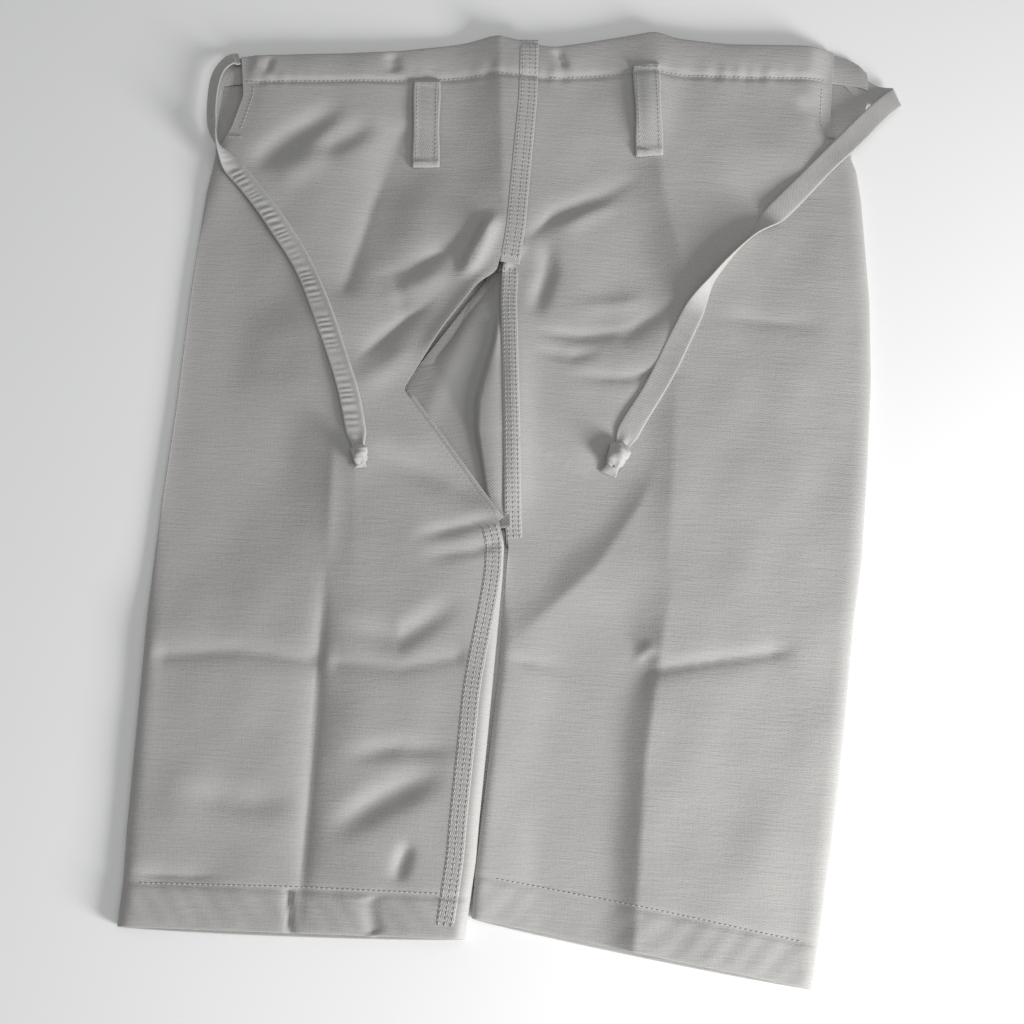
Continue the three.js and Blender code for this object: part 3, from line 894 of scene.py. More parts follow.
SEAM_LINE: tuple[Point, ...] = ((-11, 14), (-12.5, -46), (-17, -97), (-21.5, -150), (-27, -188),
                                (-28, -209), (-26, -301), (-25, -374), (-24, -392))
GUSSET_TOP, GUSSET_CORNER, GUSSET_FOOT = (-31.0, -190.0), (-97.0, -279.0), (-29.0, -374.0)


def level(line: Sequence[Point], y: Array, blur: float = 2.0) -> Array:
    """Plan x of a line at each y, averaged a little way up and down so that corners are soft."""
    heights = np.array([p[1] for p in line], float)[::-1]
    places = np.array([p[0] for p in line], float)[::-1]
    shifted = [np.interp(y + offset, heights, places) for offset in (-blur, 0.0, blur)]
    return sum(shifted) / 3.0


@dataclass
class LegCloth:
    """One leg: a single cloth round its front, outer edge, back and inner edge.

    It is turned in at the top, which makes the waistband's tunnel, and at the hem.
    """

    name: str
    side: int
    outer: tuple[Point, ...]
    back_outer: tuple[Point, ...]
    inner: tuple[Point, ...]
    hem_outer_y: float
    hem_inner_y: float
    slit_foot: float = -84.0
    crotch: float = -392.0
    turned: float = 28.0
    ply: float = 1.7
    tunnel_room: float = 1.5
    thickness: float = 0.75
    front_columns: int = 92
    back_columns: int = 30
    round_columns: int = 7
    outer_round: float = 11.0
    inner_round: float = 7.0
    back_round: float = 6.0
    edge_height: float = 4.2
    slit_height: float = 8.0
    back_slit_height: float = 1.0

    def near_slit(self, x: Array, y: Array, outline: Sequence[Point]) -> Array:
        """How near a point is to the open edge of the side slit: 1 at the edge, 0 from 20 mm in."""
        inside = self.side * (level(outline, y) - x)
        return ease(20.0, 0.0, inside) * ease(self.slit_foot - 14.0, self.slit_foot + 14.0, y)

    def on_front(self, x: Array, y: Array) -> Array:
        """The leg's upper surface, which eases towards the slit's own height at its open edge."""
        near = self.near_slit(x, y, self.outer)
        return RELIEF.front_height(x, y, self.side) * (1.0 - near) + self.slit_height * near

    def on_back(self, x: Array, y: Array) -> Array:
        """The back layer's under surface, raised where it is seen beside the slit."""
        near = self.near_slit(x, y, self.back_outer)
        return RELIEF.back_height(x, y) + self.back_slit_height * near

    def columns(self, middle: int) -> tuple[Array, Array, Array]:
        """Places across a layer, closer together where it rolls over at its two edges.

        Near an edge the distance is w(1 - cos a), so that the height, which follows sin a, is
        sampled evenly round the roll.

        Args:
            middle: number of places between the two rolls.

        Returns:
            Share of the first roll's width, share of the flat part, share of the last roll's width.
        """
        angle = np.linspace(0.0, math.pi / 2.0, self.round_columns)
        roll = 1.0 - np.cos(angle)
        flat = np.linspace(0.0, 1.0, middle + 2)[1:-1]
        first = np.concatenate([roll, np.ones(middle), np.ones(self.round_columns)])
        body = np.concatenate([np.zeros(self.round_columns), flat, np.ones(self.round_columns)])
        last = np.concatenate([np.zeros(self.round_columns + middle), 1.0 - roll[::-1]])
        return first, body, last

    def layer(self, down: Array, front: bool) -> Array:
        """Points of the front or the back layer, from the inner edge to the outer edge.

        A row is a straight line from the inner outline to the outer outline. Within a roll's
        width w of a closed edge the height falls as sqrt(1 - (1 - d/w)^2) to the edge's height.

        Args:
            down: share of the way from the waist to the hem, for each row.
            front: True for the front layer.

        Returns:
            An array of shape (rows, columns, 3).
        """
        middle = self.front_columns if front else self.back_columns
        first, body, last = self.columns(middle)
        inner_y, outer_y = down * self.hem_inner_y, down * self.hem_outer_y
        inner_x = level(self.inner, inner_y)
        outer_x = level(self.outer if front else self.back_outer, outer_y)
        width = np.hypot(outer_x - inner_x, outer_y - inner_y)[:, None]
        inner_roll = self.inner_round if front else self.back_round
        outer_roll = self.outer_round if front else self.back_round
        from_inner = inner_roll * first + (width - inner_roll - outer_roll) * body + outer_roll * last
        share = from_inner / width
        x = inner_x[:, None] + (outer_x - inner_x)[:, None] * share
        y = inner_y[:, None] + (outer_y - inner_y)[:, None] * share
        y = y + RELIEF.top_edge(x) * np.clip(1.0 + y / 75.0, 0.0, 1.0) ** 2
        height = self.on_front(x, y) if front else self.on_back(x, y)
        closed_in = ease(0.0, 1.0, (self.crotch + 6.0 - inner_y) / 16.0)[:, None]
        closed_out = ease(0.0, 1.0, (self.slit_foot + 12.0 - outer_y) / 14.0)[:, None]
        to_inner = np.clip(1.0 - from_inner / inner_roll, 0.0, 1.0)
        to_outer = np.clip(1.0 - (width - from_inner) / outer_roll, 0.0, 1.0)
        roll_in = 1.0 - closed_in * (1.0 - np.sqrt(1.0 - to_inner**2))
        roll_out = 1.0 - closed_out * (1.0 - np.sqrt(1.0 - to_outer**2))
        z = self.edge_height + (height - self.edge_height) * roll_in * roll_out
        if not front:
            y = y - 2.4 * np.sin(np.pi * share) ** 0.5 * ease(0.93, 1.0, down)[:, None]
        return np.stack([x, y, z], axis=2)

    def turned_in(self, loop: Array, edge: Array, ply: Array, at_waist: bool) -> tuple[Array, Array]:
        """The fold at an end of the cloth and the layer that is turned inside.

        The fold is half a circle about a line half a ply inside the edge: edge + in (p/2)(1-cos a)
        + out (p/2) sin a. The turned layer is the outer one, moved one ply inwards.

        Args:
            loop: rows near the end, starting at the end itself.
            edge: unit vectors out of the end along the cloth, one for each column.
            ply: distance between the two layers, for each row.
            at_waist: True at the waist, False at the hem.

        Returns:
            The rows of the fold and the rows of the turned layer, both from the end inwards.
        """
        across = np.gradient(loop, axis=1)
        down = np.gradient(loop, axis=0)
        normal = np.cross(across, down) * self.side * (1.0 if at_waist else -1.0)
        normal /= np.linalg.norm(normal, axis=2, keepdims=True) + 1e-9
        angle = np.linspace(0.0, math.pi, 6)[1:-1, None, None]
        half = ply[0] / 2.0
        fold = loop[0] + normal[0] * half * (1.0 - np.cos(angle)) + edge * half * np.sin(angle)
        return fold, loop + normal * ply[:, None, None]

    def build(self) -> bpy.types.Object:
        """Builds the whole leg, with its tunnel and its hem.

        Returns:
            The object, with thickness added by a Solidify modifier.
        """
        depths = self.depths()
        down = depths / depths[-1]
        front = self.layer(down, True)
        back = self.layer(down, False)[:, ::-1]
        turned_rows = int(np.sum(depths <= self.turned - 1.0))
        hem_rows = int(np.sum(depths[-1] - depths <= self.turned - 1.0))
        sheets = []
        for layer in (front, back):
            swell = np.sin(np.pi * np.clip(depths[:turned_rows] / self.turned, 0.0, 1.0))
            tunnel = self.ply + self.tunnel_room * swell
            top_fold, top_in = self.turned_in(layer[:turned_rows], self.outwards(layer, 0), tunnel, True)
            end = layer[::-1][:hem_rows]
            flat = np.full(len(end), self.ply)
            hem_fold, hem_in = self.turned_in(end, self.outwards(layer, -1), flat, False)
            sheets.append(np.concatenate([top_in[::-1], top_fold[::-1], layer, hem_fold, hem_in]))
            extra = len(top_in) + len(top_fold)
        return self.weld(sheets[0], sheets[1], extra, down)

    def depths(self) -> Array:
        """Distance of each row below the waist: closer rows near the waist and the hem."""
        length = -self.hem_inner_y
        return np.concatenate([np.linspace(0.0, 40.0, 28, endpoint=False),
                               np.linspace(40.0, length - 36.0, 190, endpoint=False),
                               np.linspace(length - 36.0, length, 25)])

    @staticmethod
    def outwards(layer: Array, end: int) -> Array:
        """Unit vectors along the cloth, out of its first (0) or last (-1) row."""
        vector = layer[0] - layer[1] if end == 0 else layer[-1] - layer[-2]
        return vector / np.linalg.norm(vector, axis=1, keepdims=True)

    def weld(self, front: Array, back: Array, extra: int, down: Array) -> bpy.types.Object:
        """Joins the two layers where the leg is closed, and leaves the slit and the rise open.

        Args:
            front: the front layer's rows, from the tunnel's inside to the hem's inside.
            back: the back layer's rows, from the outer edge to the inner edge.
            extra: rows before the first outer row.
            down: share of the way down for each outer row.

        Returns:
            The object.
        """
        rows = len(front)
        front_ids = np.arange(front[..., 0].size).reshape(rows, -1)
        back_ids = np.arange(back[..., 0].size).reshape(rows, -1) + front_ids.size
        station = np.concatenate([np.zeros(extra), down, np.ones(rows - extra - len(down))])
        closed_out = station * self.hem_outer_y <= self.slit_foot - 2.0
        closed_in = station * self.hem_inner_y <= self.crotch - 10.0
        back_ids[closed_out, 0] = front_ids[closed_out, -1]
        back_ids[closed_in, -1] = front_ids[closed_in, 0]
        points = np.concatenate([front.reshape(-1, 3), back.reshape(-1, 3)])
        ids = np.concatenate([front_ids.ravel(), back_ids.ravel()])
        kept, renumbered = np.unique(ids, return_inverse=True)
        renumbered = renumbered.ravel()
        new_front = renumbered[: front_ids.size].reshape(front_ids.shape)
        new_back = renumbered[front_ids.size :].reshape(back_ids.shape)
        flip = self.side > 0
        faces = grid_faces(new_front, flip) + grid_faces(new_back, flip)
        piece = make_object(f"{self.name}_leg_cloth", points[kept], faces)
        thick = piece.modifiers.new("thickness", "SOLIDIFY")
        thick.thickness = self.thickness * MM
        thick.offset = -1.0
        thick.use_even_offset = False
        return piece


LEFT_EDGE: tuple[Point, ...] = (
    (-247, -121), (-254, -201), (-259, -286), (-265, -360), (-270, -438), (-272, -513), (-274, -585),
    (-274, -617), (-276, -645))
RIGHT_EDGE: tuple[Point, ...] = (
    (240, -129), (241, -209), (238, -271), (231, -338), (223, -403), (215, -445), (203, -526),
    (192, -591), (180, -654), (174, -684))
LEFT_LEG = LegCloth(
    name="left", side=-1,
    outer=((-226, 20), (-226, 0), (-223, -40), (-231, -70), (-241, -86), *LEFT_EDGE),
    back_outer=((-230, 20), (-231, -2), (-239, -26), (-242, -60), (-242, -86), *LEFT_EDGE),
    inner=(*SEAM_LINE[:4], (-31, -188), (-45, -199), (-68, -230), GUSSET_CORNER, GUSSET_FOOT,
           (-25, -392), (-26, -413), (-30, -459), (-36, -526), (-41, -578), (-43, -604), (-47, -632),
           (-50, -653)),
    hem_outer_y=-645.0, hem_inner_y=-653.0,
)
RIGHT_LEG = LegCloth(
    name="right", side=1,
    outer=((227, 20), (227, 0), (221, -60), (222, -70), (232, -86), (238, -104), *RIGHT_EDGE),
    back_outer=((251, 20), (251, 0), (251, -38), (246, -58), (239, -76), (235, -92), (238, -106),
                *RIGHT_EDGE),
    inner=(*SEAM_LINE[:-1], (-22, -392), (-23, -403), (-25, -431), (-28, -472), (-34, -526),
           (-40, -578), (-44, -610), (-46, -640)),
    hem_outer_y=-684.0, hem_inner_y=-640.0, slit_height=4.6, back_slit_height=2.2,
)


def on_left(x: Array, y: Array) -> Array:
    """The left leg's upper surface."""
    return LEFT_LEG.on_front(x, y)


def on_right(x: Array, y: Array) -> Array:
    """The right leg's upper surface."""
    return RIGHT_LEG.on_front(x, y)


def on_back(x: Array, y: Array) -> Array:
    """The inside of the back layer."""
    return RELIEF.back_height(x, y) + 0.8


@dataclass
class Gusset:
    """The crotch gusset: a sunk triangle on the front and a flat one on the back."""

    rows: int = 90
    columns: int = 40
    tuck: float = 7.0
    floor: float = 2.4
    rise: float = 5.4
    bulge: float = 1.2
    lens: tuple[Point, ...] = ((-30, -215), (-33, -240), (-45, -286), (-45, -308), (-38, -352),
                               (-29, -374))

    def build(self) -> bpy.types.Object:
        """Builds both faces of the gusset.

        On the front a row runs from under the leg cloth to the seam. Its height is low in the
        middle and rises in a steep smooth step to a swollen strip along the seam.

        Returns:
            The object.
        """
        y = np.linspace(GUSSET_TOP[1] + 5.0, GUSSET_FOOT[1] - 5.0, self.rows)
        edge = level((GUSSET_TOP, GUSSET_CORNER, GUSSET_FOOT), y)
        seam = level(SEAM_LINE, y)
        left, right = edge - self.tuck, seam + 4.0
        share = np.linspace(0.0, 1.0, self.columns)
        x = left[:, None] + (right - left)[:, None] * share
        yy = np.broadcast_to(y[:, None], x.shape)
        lens = level(self.lens, y)[:, None]
        swell = ease(-1.3, 1.3, x - lens) * ease(378.0, 350.0, -yy) * ease(212.0, 238.0, -yy)
        over = np.clip((x - lens) / np.maximum(seam[:, None] - lens, 2.0), 0.0, 1.0)
        bulge = self.bulge * np.sin(np.pi * over)
        creases = -1.0 * np.exp(-np.abs(x + 62.0 + (yy + 285.0) * 0.5) / 5.0)
        creases += 0.9 * np.exp(-(((x + 70.0 - (yy + 270.0) * 0.4) / 8.0) ** 2))
        pocket = np.exp(-np.abs(x - edge[:, None]) / 9.0) * ease(-262.0, -235.0, yy)
        low = self.floor + self.rise * share + creases - 1.6 * np.clip(pocket, 0.0, 1.0)
        high = on_right(seam[:, None] + 3.0 + 0.0 * x, yy) - 1.2 + bulge
        z = low * (1.0 - swell) + high * swell
        front = np.stack([x, yy, np.clip(z, 1.8, 15.0)], axis=2)
        back = np.stack([x[:, ::-1], yy, RELIEF.back_height(x[:, ::-1], yy) + 0.9], axis=2)
        ids = np.arange(x.size).reshape(x.shape)
        faces = grid_faces(ids, True) + grid_faces(ids + x.size, True)
        points = np.concatenate([front.reshape(-1, 3), back.reshape(-1, 3)])
        piece = make_object("crotch_gusset_cloth", points, faces)
        thick = piece.modifiers.new("thickness", "SOLIDIFY")
        thick.thickness, thick.offset = 0.7 * MM, -1.0
        return piece


# ---------------------------------------------------------------------------------- trimmings


def shifted(line: Sequence[Point], offset: float, step: float = 4.0) -> list[Point]:
    """A plan line moved to the left of its direction."""
    path = resample(line, step)
    moved = path + side_vectors(path) * offset
    return [(float(x), float(y)) for x, y in moved]


@dataclass
class Seams:
    """Felled seams, their stitching, the hems' stitching and the slits' hems."""

    width: float = 12.0
    slit_hem: float = 9.0
    stitch: Stitch = field(default_factory=Stitch)

    def centre_front(self, wardrobe: Wardrobe) -> None:
        """The seam down the front to the crotch, with rows of stitches near both its edges."""
        upper = [(SEAM_LINE[0][0], 4.0), *SEAM_LINE[1:4], (-26, -180)]
        lower = [(-26.5, -180), *SEAM_LINE[4:]]
        highest = lambda x, y: np.maximum(on_left(x, y), on_right(x, y))
        bands = (("rise", upper, -2.5, highest, (0.4, 6.0, 10.2)),
                 ("crotch", lower, 0.3, on_right, (2.2, 6.2, 10.2)))
        for name, line, inner, on, rows in bands:
            band = Band(f"centre_front_{name}_band", line, inner, self.width, on, rows)
            pin(band.cloth(), wardrobe.seam, "seam_cotton", "centre_front_seam")
            pin(band.stitches(f"centre_front_{name}_stitches"), wardrobe.thread, "thread")

    def centre_back(self, wardrobe: Wardrobe) -> None:
        """The seam down the back, which lies inside."""
        band = Band("centre_back_seam_band", SEAM_LINE[1:], 0.0, self.width, on_back, (2.0, 10.0))
        pin(band.cloth(), wardrobe.seam, "seam_cotton", "centre_back_seam")

    def inseam(self, leg: LegCloth, wardrobe: Wardrobe) -> None:
        """The seam along a leg's inner edge: on the front of the left leg, inside the right one."""
        seen = leg.side < 0
        top = -374.0 if seen else -400.0
        heights = np.linspace(top, leg.hem_inner_y + (3.0 if seen else 32.0), 40)
        near = 1.0 + 7.0 * ease(30.0, 130.0, top - heights) if seen else 8.0
        places = level(leg.inner, heights) + leg.side * near
        line = list(zip(places.tolist(), heights.tolist()))
        reach = leg.side * self.width
        rows = (reach * 0.14, reach * 0.5, reach * 0.86) if seen else (reach * 0.2, reach * 0.8)
        band = Band(f"{leg.name}_inseam_band", line, 0.0, reach, on_left if seen else on_back, rows)
        solids = (f"{leg.name}_thigh_inseam", f"{leg.name}_shin_inseam")
        across_crease(dress(band.cloth(), wardrobe.seam, "seam_cotton", *solids))
        if seen:
            sewn = band.stitches("left_inseam_stitches")
            across_crease(dress(sewn, wardrobe.thread, "thread"))

    def hem_rows(self, leg: LegCloth, wardrobe: Wardrobe) -> None:
        """One row of stitches along each hem."""
        ends = np.array([[level(leg.inner, np.array(leg.hem_inner_y)), leg.hem_inner_y],
                         [level(leg.outer, np.array(leg.hem_outer_y)), leg.hem_outer_y]], float)
        along = (ends[1] - ends[0]) / np.linalg.norm(ends[1] - ends[0])
        up = np.array([-along[1], along[0]]) * (1.0 if along[0] > 0 else -1.0)
        start, end = ends[0] + along * 9.0 + up * 27.0, ends[1] - along * 11.0 + up * 27.0
        line = [tuple(start), tuple((start + end) / 2 + up * 1.2), tuple(end)]
        on = on_left if leg.side < 0 else on_right
        sewn = self.stitch.rows(f"{leg.name}_hem_stitches", [line], on, 0.2)
        pin(sewn, wardrobe.thread, "thread", body=f"{leg.name}_lower_leg")

    def waist_rows(self, wardrobe: Wardrobe) -> None:
        """The row of stitches under the waistband's tunnel, on both legs."""
        for leg, on in ((LEFT_LEG, on_left), (RIGHT_LEG, on_right)):
            x = np.linspace(-223.0, -9.0, 60) if leg.side < 0 else np.linspace(7.0, 221.0, 60)
            y = RELIEF.stitch_line(x)
            sewn = self.stitch.rows(f"{leg.name}_waist_stitches", [list(zip(x, y))], on, 0.3)
            pin(sewn, wardrobe.thread, "thread")

    def gusset_edge(self, wardrobe: Wardrobe) -> None:
        """The turned edge under the gusset, and a row of stitches along that edge."""
        line = [GUSSET_CORNER, GUSSET_FOOT]
        halfway = lambda x, y: 0.5 * on_left(x, y) + 1.4
        welt = Band("gusset_edge_welt", line, -0.6, 4.2, halfway, (), 0.5)
        # The welt wears the gusset's darker twill, which is painted shade.
        pin(welt.cloth(), wardrobe.gusset, "seam_cotton")
        sewn = self.stitch.rows("gusset_stitches", [shifted(line, -2.0)], on_left, -0.2)
        pin(sewn, wardrobe.thread, "thread")

    def slit_hems(self, leg: LegCloth, wardrobe: Wardrobe) -> None:
        """The turned edges of a side slit, a row of stitches, and the bar tack at its foot."""
        side = leg.side
        heights = np.linspace(-33.0, -72.0, 8)
        under_front = lambda x, y: leg.on_front(x, y) - 1.6
        for layer, outline, on in (("front", leg.outer, under_front), ("back", leg.back_outer, on_back)):
            line = list(zip((level(outline, heights) - side * 1.5).tolist(), heights.tolist()))
            band = Band(f"{leg.name}_slit_{layer}_turning", line, 0.0, -side * self.slit_hem, on)
            pin(band.cloth(), wardrobe.seam, "seam_cotton", f"{leg.name}_slit_{layer}_hem")
        line = list(zip((level(leg.outer, heights) - side * 8.0).tolist(), heights.tolist()))
        sewn = self.stitch.rows(f"{leg.name}_slit_stitches", [line], leg.on_front, 0.1)
        pin(sewn, wardrobe.thread, "thread")
        foot = float(level(leg.outer, np.array(-78.0)))
        tack = BarTack(f"{leg.name}_slit_bar_tack", foot - side * self.slit_hem, -77.0, self.slit_hem, 2.4)
        tack.build(leg.on_front, 0.1, wardrobe, f"{leg.name}_slit_tack")


@dataclass(frozen=True)
class BarTack:
    """A dense bar of side-by-side stitches that closes the end of a seam."""

    name: str
    x: float
    y: float
    length: float
    width: float

    def build(self, on: Surface, lift: float, wardrobe: Wardrobe, solid: str) -> None:
        """Builds the bar as short stitches set across it, half a millimetre apart.

        Args:
            on: the surface under it.
            lift: its height over that surface.
            wardrobe: the materials.
            solid: the solid that it stands for.
        """
        count = int(self.length / 0.55)
        x = self.x + np.linspace(-0.5, 0.5, count) * self.length
        y = self.y + 0.25 * np.sin(np.arange(count) * 2.4)
        slope = 0.35 * np.where(np.arange(count) % 2 == 0, 1.0, -1.0)
        along = np.stack([slope, np.ones(count), np.zeros(count)], axis=1)
        along /= np.linalg.norm(along, axis=1, keepdims=True)
        up = np.tile([0.0, 0.0, 1.0], (count, 1))
        middle = on(np.array([self.x]), np.array([self.y]))[0]
        places = np.stack([x, y, 0.0 * x + middle + lift + 0.25], axis=1)
        sewn = Stitch(length=self.width, width=0.6, height=0.7).sew(self.name, places, along, up)
        pin(sewn, wardrobe.thread, "thread", solid)


@dataclass
class BeltLoop:
    """A belt loop: a doubled strap sewn down at both ends, slack between them."""

    name: str
    top: Point
    bottom: Point
    side: int
    width: float = 20.0
    thickness: float = 1.4
    slack: float = 2.0

    def surface(self, x: Array, y: Array) -> Array:
        """Height of the strap's underside: the cloth, smoothed, with a low arch between the ends."""
        on = on_left if self.side < 0 else on_right
        share = np.clip((self.top[1] - y) / (self.top[1] - self.bottom[1]), 0.0, 1.0)
        arch = self.slack * np.sin(np.pi * share) ** 0.7
        smooth = sum(on(x + dx, y) for dx in (-8.0, -4.0, 0.0, 4.0, 8.0)) / 5.0
        return smooth + 0.35 + arch

    def build(self, wardrobe: Wardrobe) -> None:
        """Builds the strap, its folded lower lip, two rows of stitches and both bar tacks.

        The strap's cross-section is a flat bar whose long edges are slightly raised where the
        doubled cloth is turned in: t(1 + 0.25 |s|^6) over s from -1 to 1.

        Args:
            wardrobe: the materials.
        """
        path = resample([self.top, self.bottom], 1.4)
        left = side_vectors(path)
        s = np.array([-1.0, -0.97, -0.88, -0.7, -0.35, 0.0, 0.35, 0.7, 0.88, 0.97, 1.0])
        half = self.width / 2.0 + 0.35 * np.sin(np.arange(len(path)) / 6.0)[:, None]
        x = path[:, None, 0] + left[:, None, 0] * half * s
        y = path[:, None, 1] + left[:, None, 1] * half * s
        low = self.surface(x, y)
        share = np.linspace(0.0, 1.0, len(path))[:, None]
        lip = 0.9 * np.exp(-(((share - 0.955) / 0.03) ** 2))
        lip = lip + 0.6 * np.exp(-(((share - 0.05) / 0.03) ** 2))
        edge = np.array([0.3, 0.75, 1.0, 1.0, 1.0, 1.0, 1.0, 1.0, 1.0, 0.75, 0.3])
        crown = self.thickness * edge * (1.0 + 0.25 * np.abs(s) ** 6) + lip * edge
        groove = -0.35 * (np.exp(-(((np.abs(s) - 0.72) / 0.1) ** 2)))
        upper = np.stack([x, y, low + crown + groove], axis=2)
        lower = np.stack([x[:, ::-2], y[:, ::-2], low[:, ::-2]], axis=2)
        strap = loft(f"{self.name}_belt_loop_strap", np.concatenate([upper, lower], axis=1))
        pin(strap, wardrobe.seam, "seam_cotton", f"{self.name}_belt_loop")
        rows = [shifted([self.top, self.bottom], 0.72 * self.width / 2.0 * way) for way in (1.0, -1.0)]
        on = lambda px, py: self.surface(px, py) + self.thickness
        sewn = Stitch(length=2.1, gap=1.3).rows(f"{self.name}_loop_stitches", rows, on, -0.15)
        pin(sewn, wardrobe.thread, "thread")
        for end, (px, py), inset in (("upper", self.top, -3.4), ("lower", self.bottom, 3.4)):
            tack = BarTack(f"{self.name}_loop_{end}_bar_tack", px, py + inset, self.width - 3.0, 2.2)
            tack.build(on, 0.35, wardrobe, f"{self.name}_loop_{end}_tack")


@dataclass
class Drawstring:
    """The flat cord: a hidden run through the back waistband, two free ends and their knots."""

    width: float = 14.0
    thickness: float = 1.5
    low: float = 2.4
    lift: float = 1.5
    left_end: float = -227.0
    right_end: float = 227.0
    pucker_pitch: float = 4.9
    pinch: float = 0.30
    twist_lift: float = 3.4
    step: float = 0.9

    def route(self, side: int) -> Array:
        """Corner points of one free end: sideways from the waist's end, up from its top, height.

        Where the height is given as 0 the cord lies on the cloth.

        Args:
            side: -1 for the left end, 1 for the right end.

        Returns:
            Plan points with heights.
        """
        if side < 0:
            corners = ((-1, -9, 5.0), (-8, -11, 6.5), (-15.5, -22, 8.0), (-18.5, -40, 8.6),
                       (-18, -64, 9.5), (-12.5, -84, 11.0), (-1, -102, 0.0), (13, -119, 0.0),
                       (34, -148, 0.0), (60, -193, 0.0), (88, -270, 0.0), (97, -308, 0.0),
                       (100, -324, 0.0))
            start, on = self.left_end, on_left
        else:
            corners = ((9, -21, 2.4), (20, -33.5, 2.6), (30, -39.5, 3.2), (40, -41.4, 4.2),
                       (45, -42.4, 5.9), (41, -45.8, 7.6), (33, -53, 8.6), (22, -64, 9.4),
                       (7, -80, 10.2), (-13, -100, 0.0), (-41, -129, 0.0), (-83, -173, 0.0),
                       (-110, -209, 0.0), (-141, -270, 0.0), (-162, -305, 0.0), (-170, -322, 0.0))
            start, on = self.right_end, on_right
        points = np.array(corners, float)
        points[:, 0] += start
        laid = points[:, 2] < 1.0
        cloth = on(points[:, 0], points[:, 1])
        points[:, 2] = np.where(laid, cloth + self.lift, points[:, 2])
        return points

    def curve(self, corners: Array, step: float = 2.0) -> Array:
        """A smooth curve through corner points: Catmull-Rom, then equal steps.

        Args:
            corners: points with heights.
            step: length of one step.

        Returns:
            Points along the curve.
        """
        padded = np.vstack([2 * corners[0] - corners[1], corners, 2 * corners[-1] - corners[-2]])
        t = np.linspace(0.0, 1.0, 24, endpoint=False)[:, None]
        spans = []
        for p0, p1, p2, p3 in zip(padded[:-3], padded[1:-2], padded[2:-1], padded[3:]):
            spans.append(0.5 * (2 * p1 + (p2 - p0) * t + (2 * p0 - 5 * p1 + 4 * p2 - p3) * t**2
                                + (3 * p1 - p0 - 3 * p2 + p3) * t**3))
        dense = np.vstack([*spans, corners[-1:]])
        lengths = np.concatenate([[0.0], np.cumsum(np.linalg.norm(np.diff(dense, axis=0), axis=1))])
        along = np.linspace(0.0, lengths[-1], int(lengths[-1] / step) + 1)
        return np.stack([np.interp(along, lengths, dense[:, k]) for k in range(3)], axis=1)

    def tape(self, name: str, path: Array, roll: Array, hairpin: float = -1.0, narrow: float = 1.0,
             ladder: float = 0.12, rim: float = 0.0, width: float = 14.0) -> bpy.types.Object:
        """The flat cord along a path, rolled about its length and folded over where it turns back.

        Its crossways direction is the path's heading and a quarter turn. At a hairpin the tape is
        turned over, so beyond it a quarter turn is taken the other way; the direction is blended
        over the fold, which leaves a straight crease. A sine along the tape makes slanting
        puckers, one edge can be a smooth raised rim, and the tape is pinched narrower by a share
        of |sin(roll)| where it stands on edge.

        Args:
            name: the piece's name.
            path: centre line.
            roll: angle about the length at each point.
            hairpin: share of the length where the tape folds back, or -1.
            narrow: width at the far end as a share of the full width.
            ladder: height of the puckers.
            rim: 1 or -1 for a rim at that edge, 0 for none.
            width: full width.

        Returns:
            The object.
        """
        count = np.arange(len(path))
        share = count / (len(path) - 1.0)
        along = np.gradient(path, axis=0)
        plan = along[:, :2] / np.linalg.norm(along[:, :2], axis=1, keepdims=True)
        quarter = np.stack([-plan[:, 1], plan[:, 0]], axis=1)
        if hairpin > 0.0:
            beyond = ease(hairpin - 0.012, hairpin + 0.012, share)[:, None]
            before, after = quarter[share < hairpin - 0.02][-1], -quarter[share > hairpin + 0.03][0]
            fixed = before * (1.0 - beyond) + after * beyond
            near = ease(0.03, 0.018, np.abs(share - hairpin))[:, None]
            turned = quarter * np.where(share > hairpin, -1.0, 1.0)[:, None]
            quarter = turned * (1.0 - near) + fixed * near
        flat = np.concatenate([quarter, np.zeros((len(path), 1))], axis=1)
        flat /= np.linalg.norm(flat, axis=1, keepdims=True)
        along /= np.linalg.norm(along, axis=1, keepdims=True)
        up = np.cross(along, flat)
        up /= np.linalg.norm(up, axis=1, keepdims=True)
        turn = roll[:, None]
        across = flat * np.cos(turn) + up * np.sin(turn)
        normal = -flat * np.sin(turn) + up * np.cos(turn)
        s = np.array([-1.0, -0.97, -0.84, -0.66, -0.5, -0.25, 0.0, 0.25, 0.5, 0.66, 0.84, 0.97, 1.0])
        t = np.array([0.0, 0.36, 0.44, 0.46, 0.45, 0.45, 0.45, 0.45, 0.45, 0.46, 0.44, 0.36, 0.0])
        t = t + 0.25 * np.exp(-(((s - rim * 0.82) / 0.2) ** 2)) * abs(rim) * (np.abs(s) < 0.99)
        s = np.concatenate([s, s[-2:0:-1]])
        t = np.concatenate([t, -t[-2:0:-1]])
        step = np.linalg.norm(path[1] - path[0])
        place = count[:, None] * step
        drift = 1.7 * np.sin(place / 7.0) + 1.2 * np.sin(place / 3.1)
        pucker = np.sin(2.0 * math.pi * (place / self.pucker_pitch + 0.42 * s) + drift)
        patchy = 0.62 + 0.38 * np.sin(place / 8.0 + np.sin(place / 19.0))
        inner = np.exp(-(((s + 0.2 * rim) / 0.52) ** 4)) * patchy
        wave = 0.30 * np.sin(place / 17.0 + 1.0) * s + 0.30 * np.sin(place / 23.0) * s**2
        taper = 1.0 + (narrow - 1.0) * ease(len(path) - 16.0 / step, len(path) - 1.0, count)[:, None]
        gather = (1.0 - taper) * 2.4 * np.cos(4.5 * s)
        pinched = 1.0 - self.pinch * np.abs(np.sin(turn))
        half = width / 2.0 * (1.0 + 0.03 * np.sin(place / 12.0)) * taper * pinched
        height = self.thickness * t + ladder * pucker * inner + wave + gather
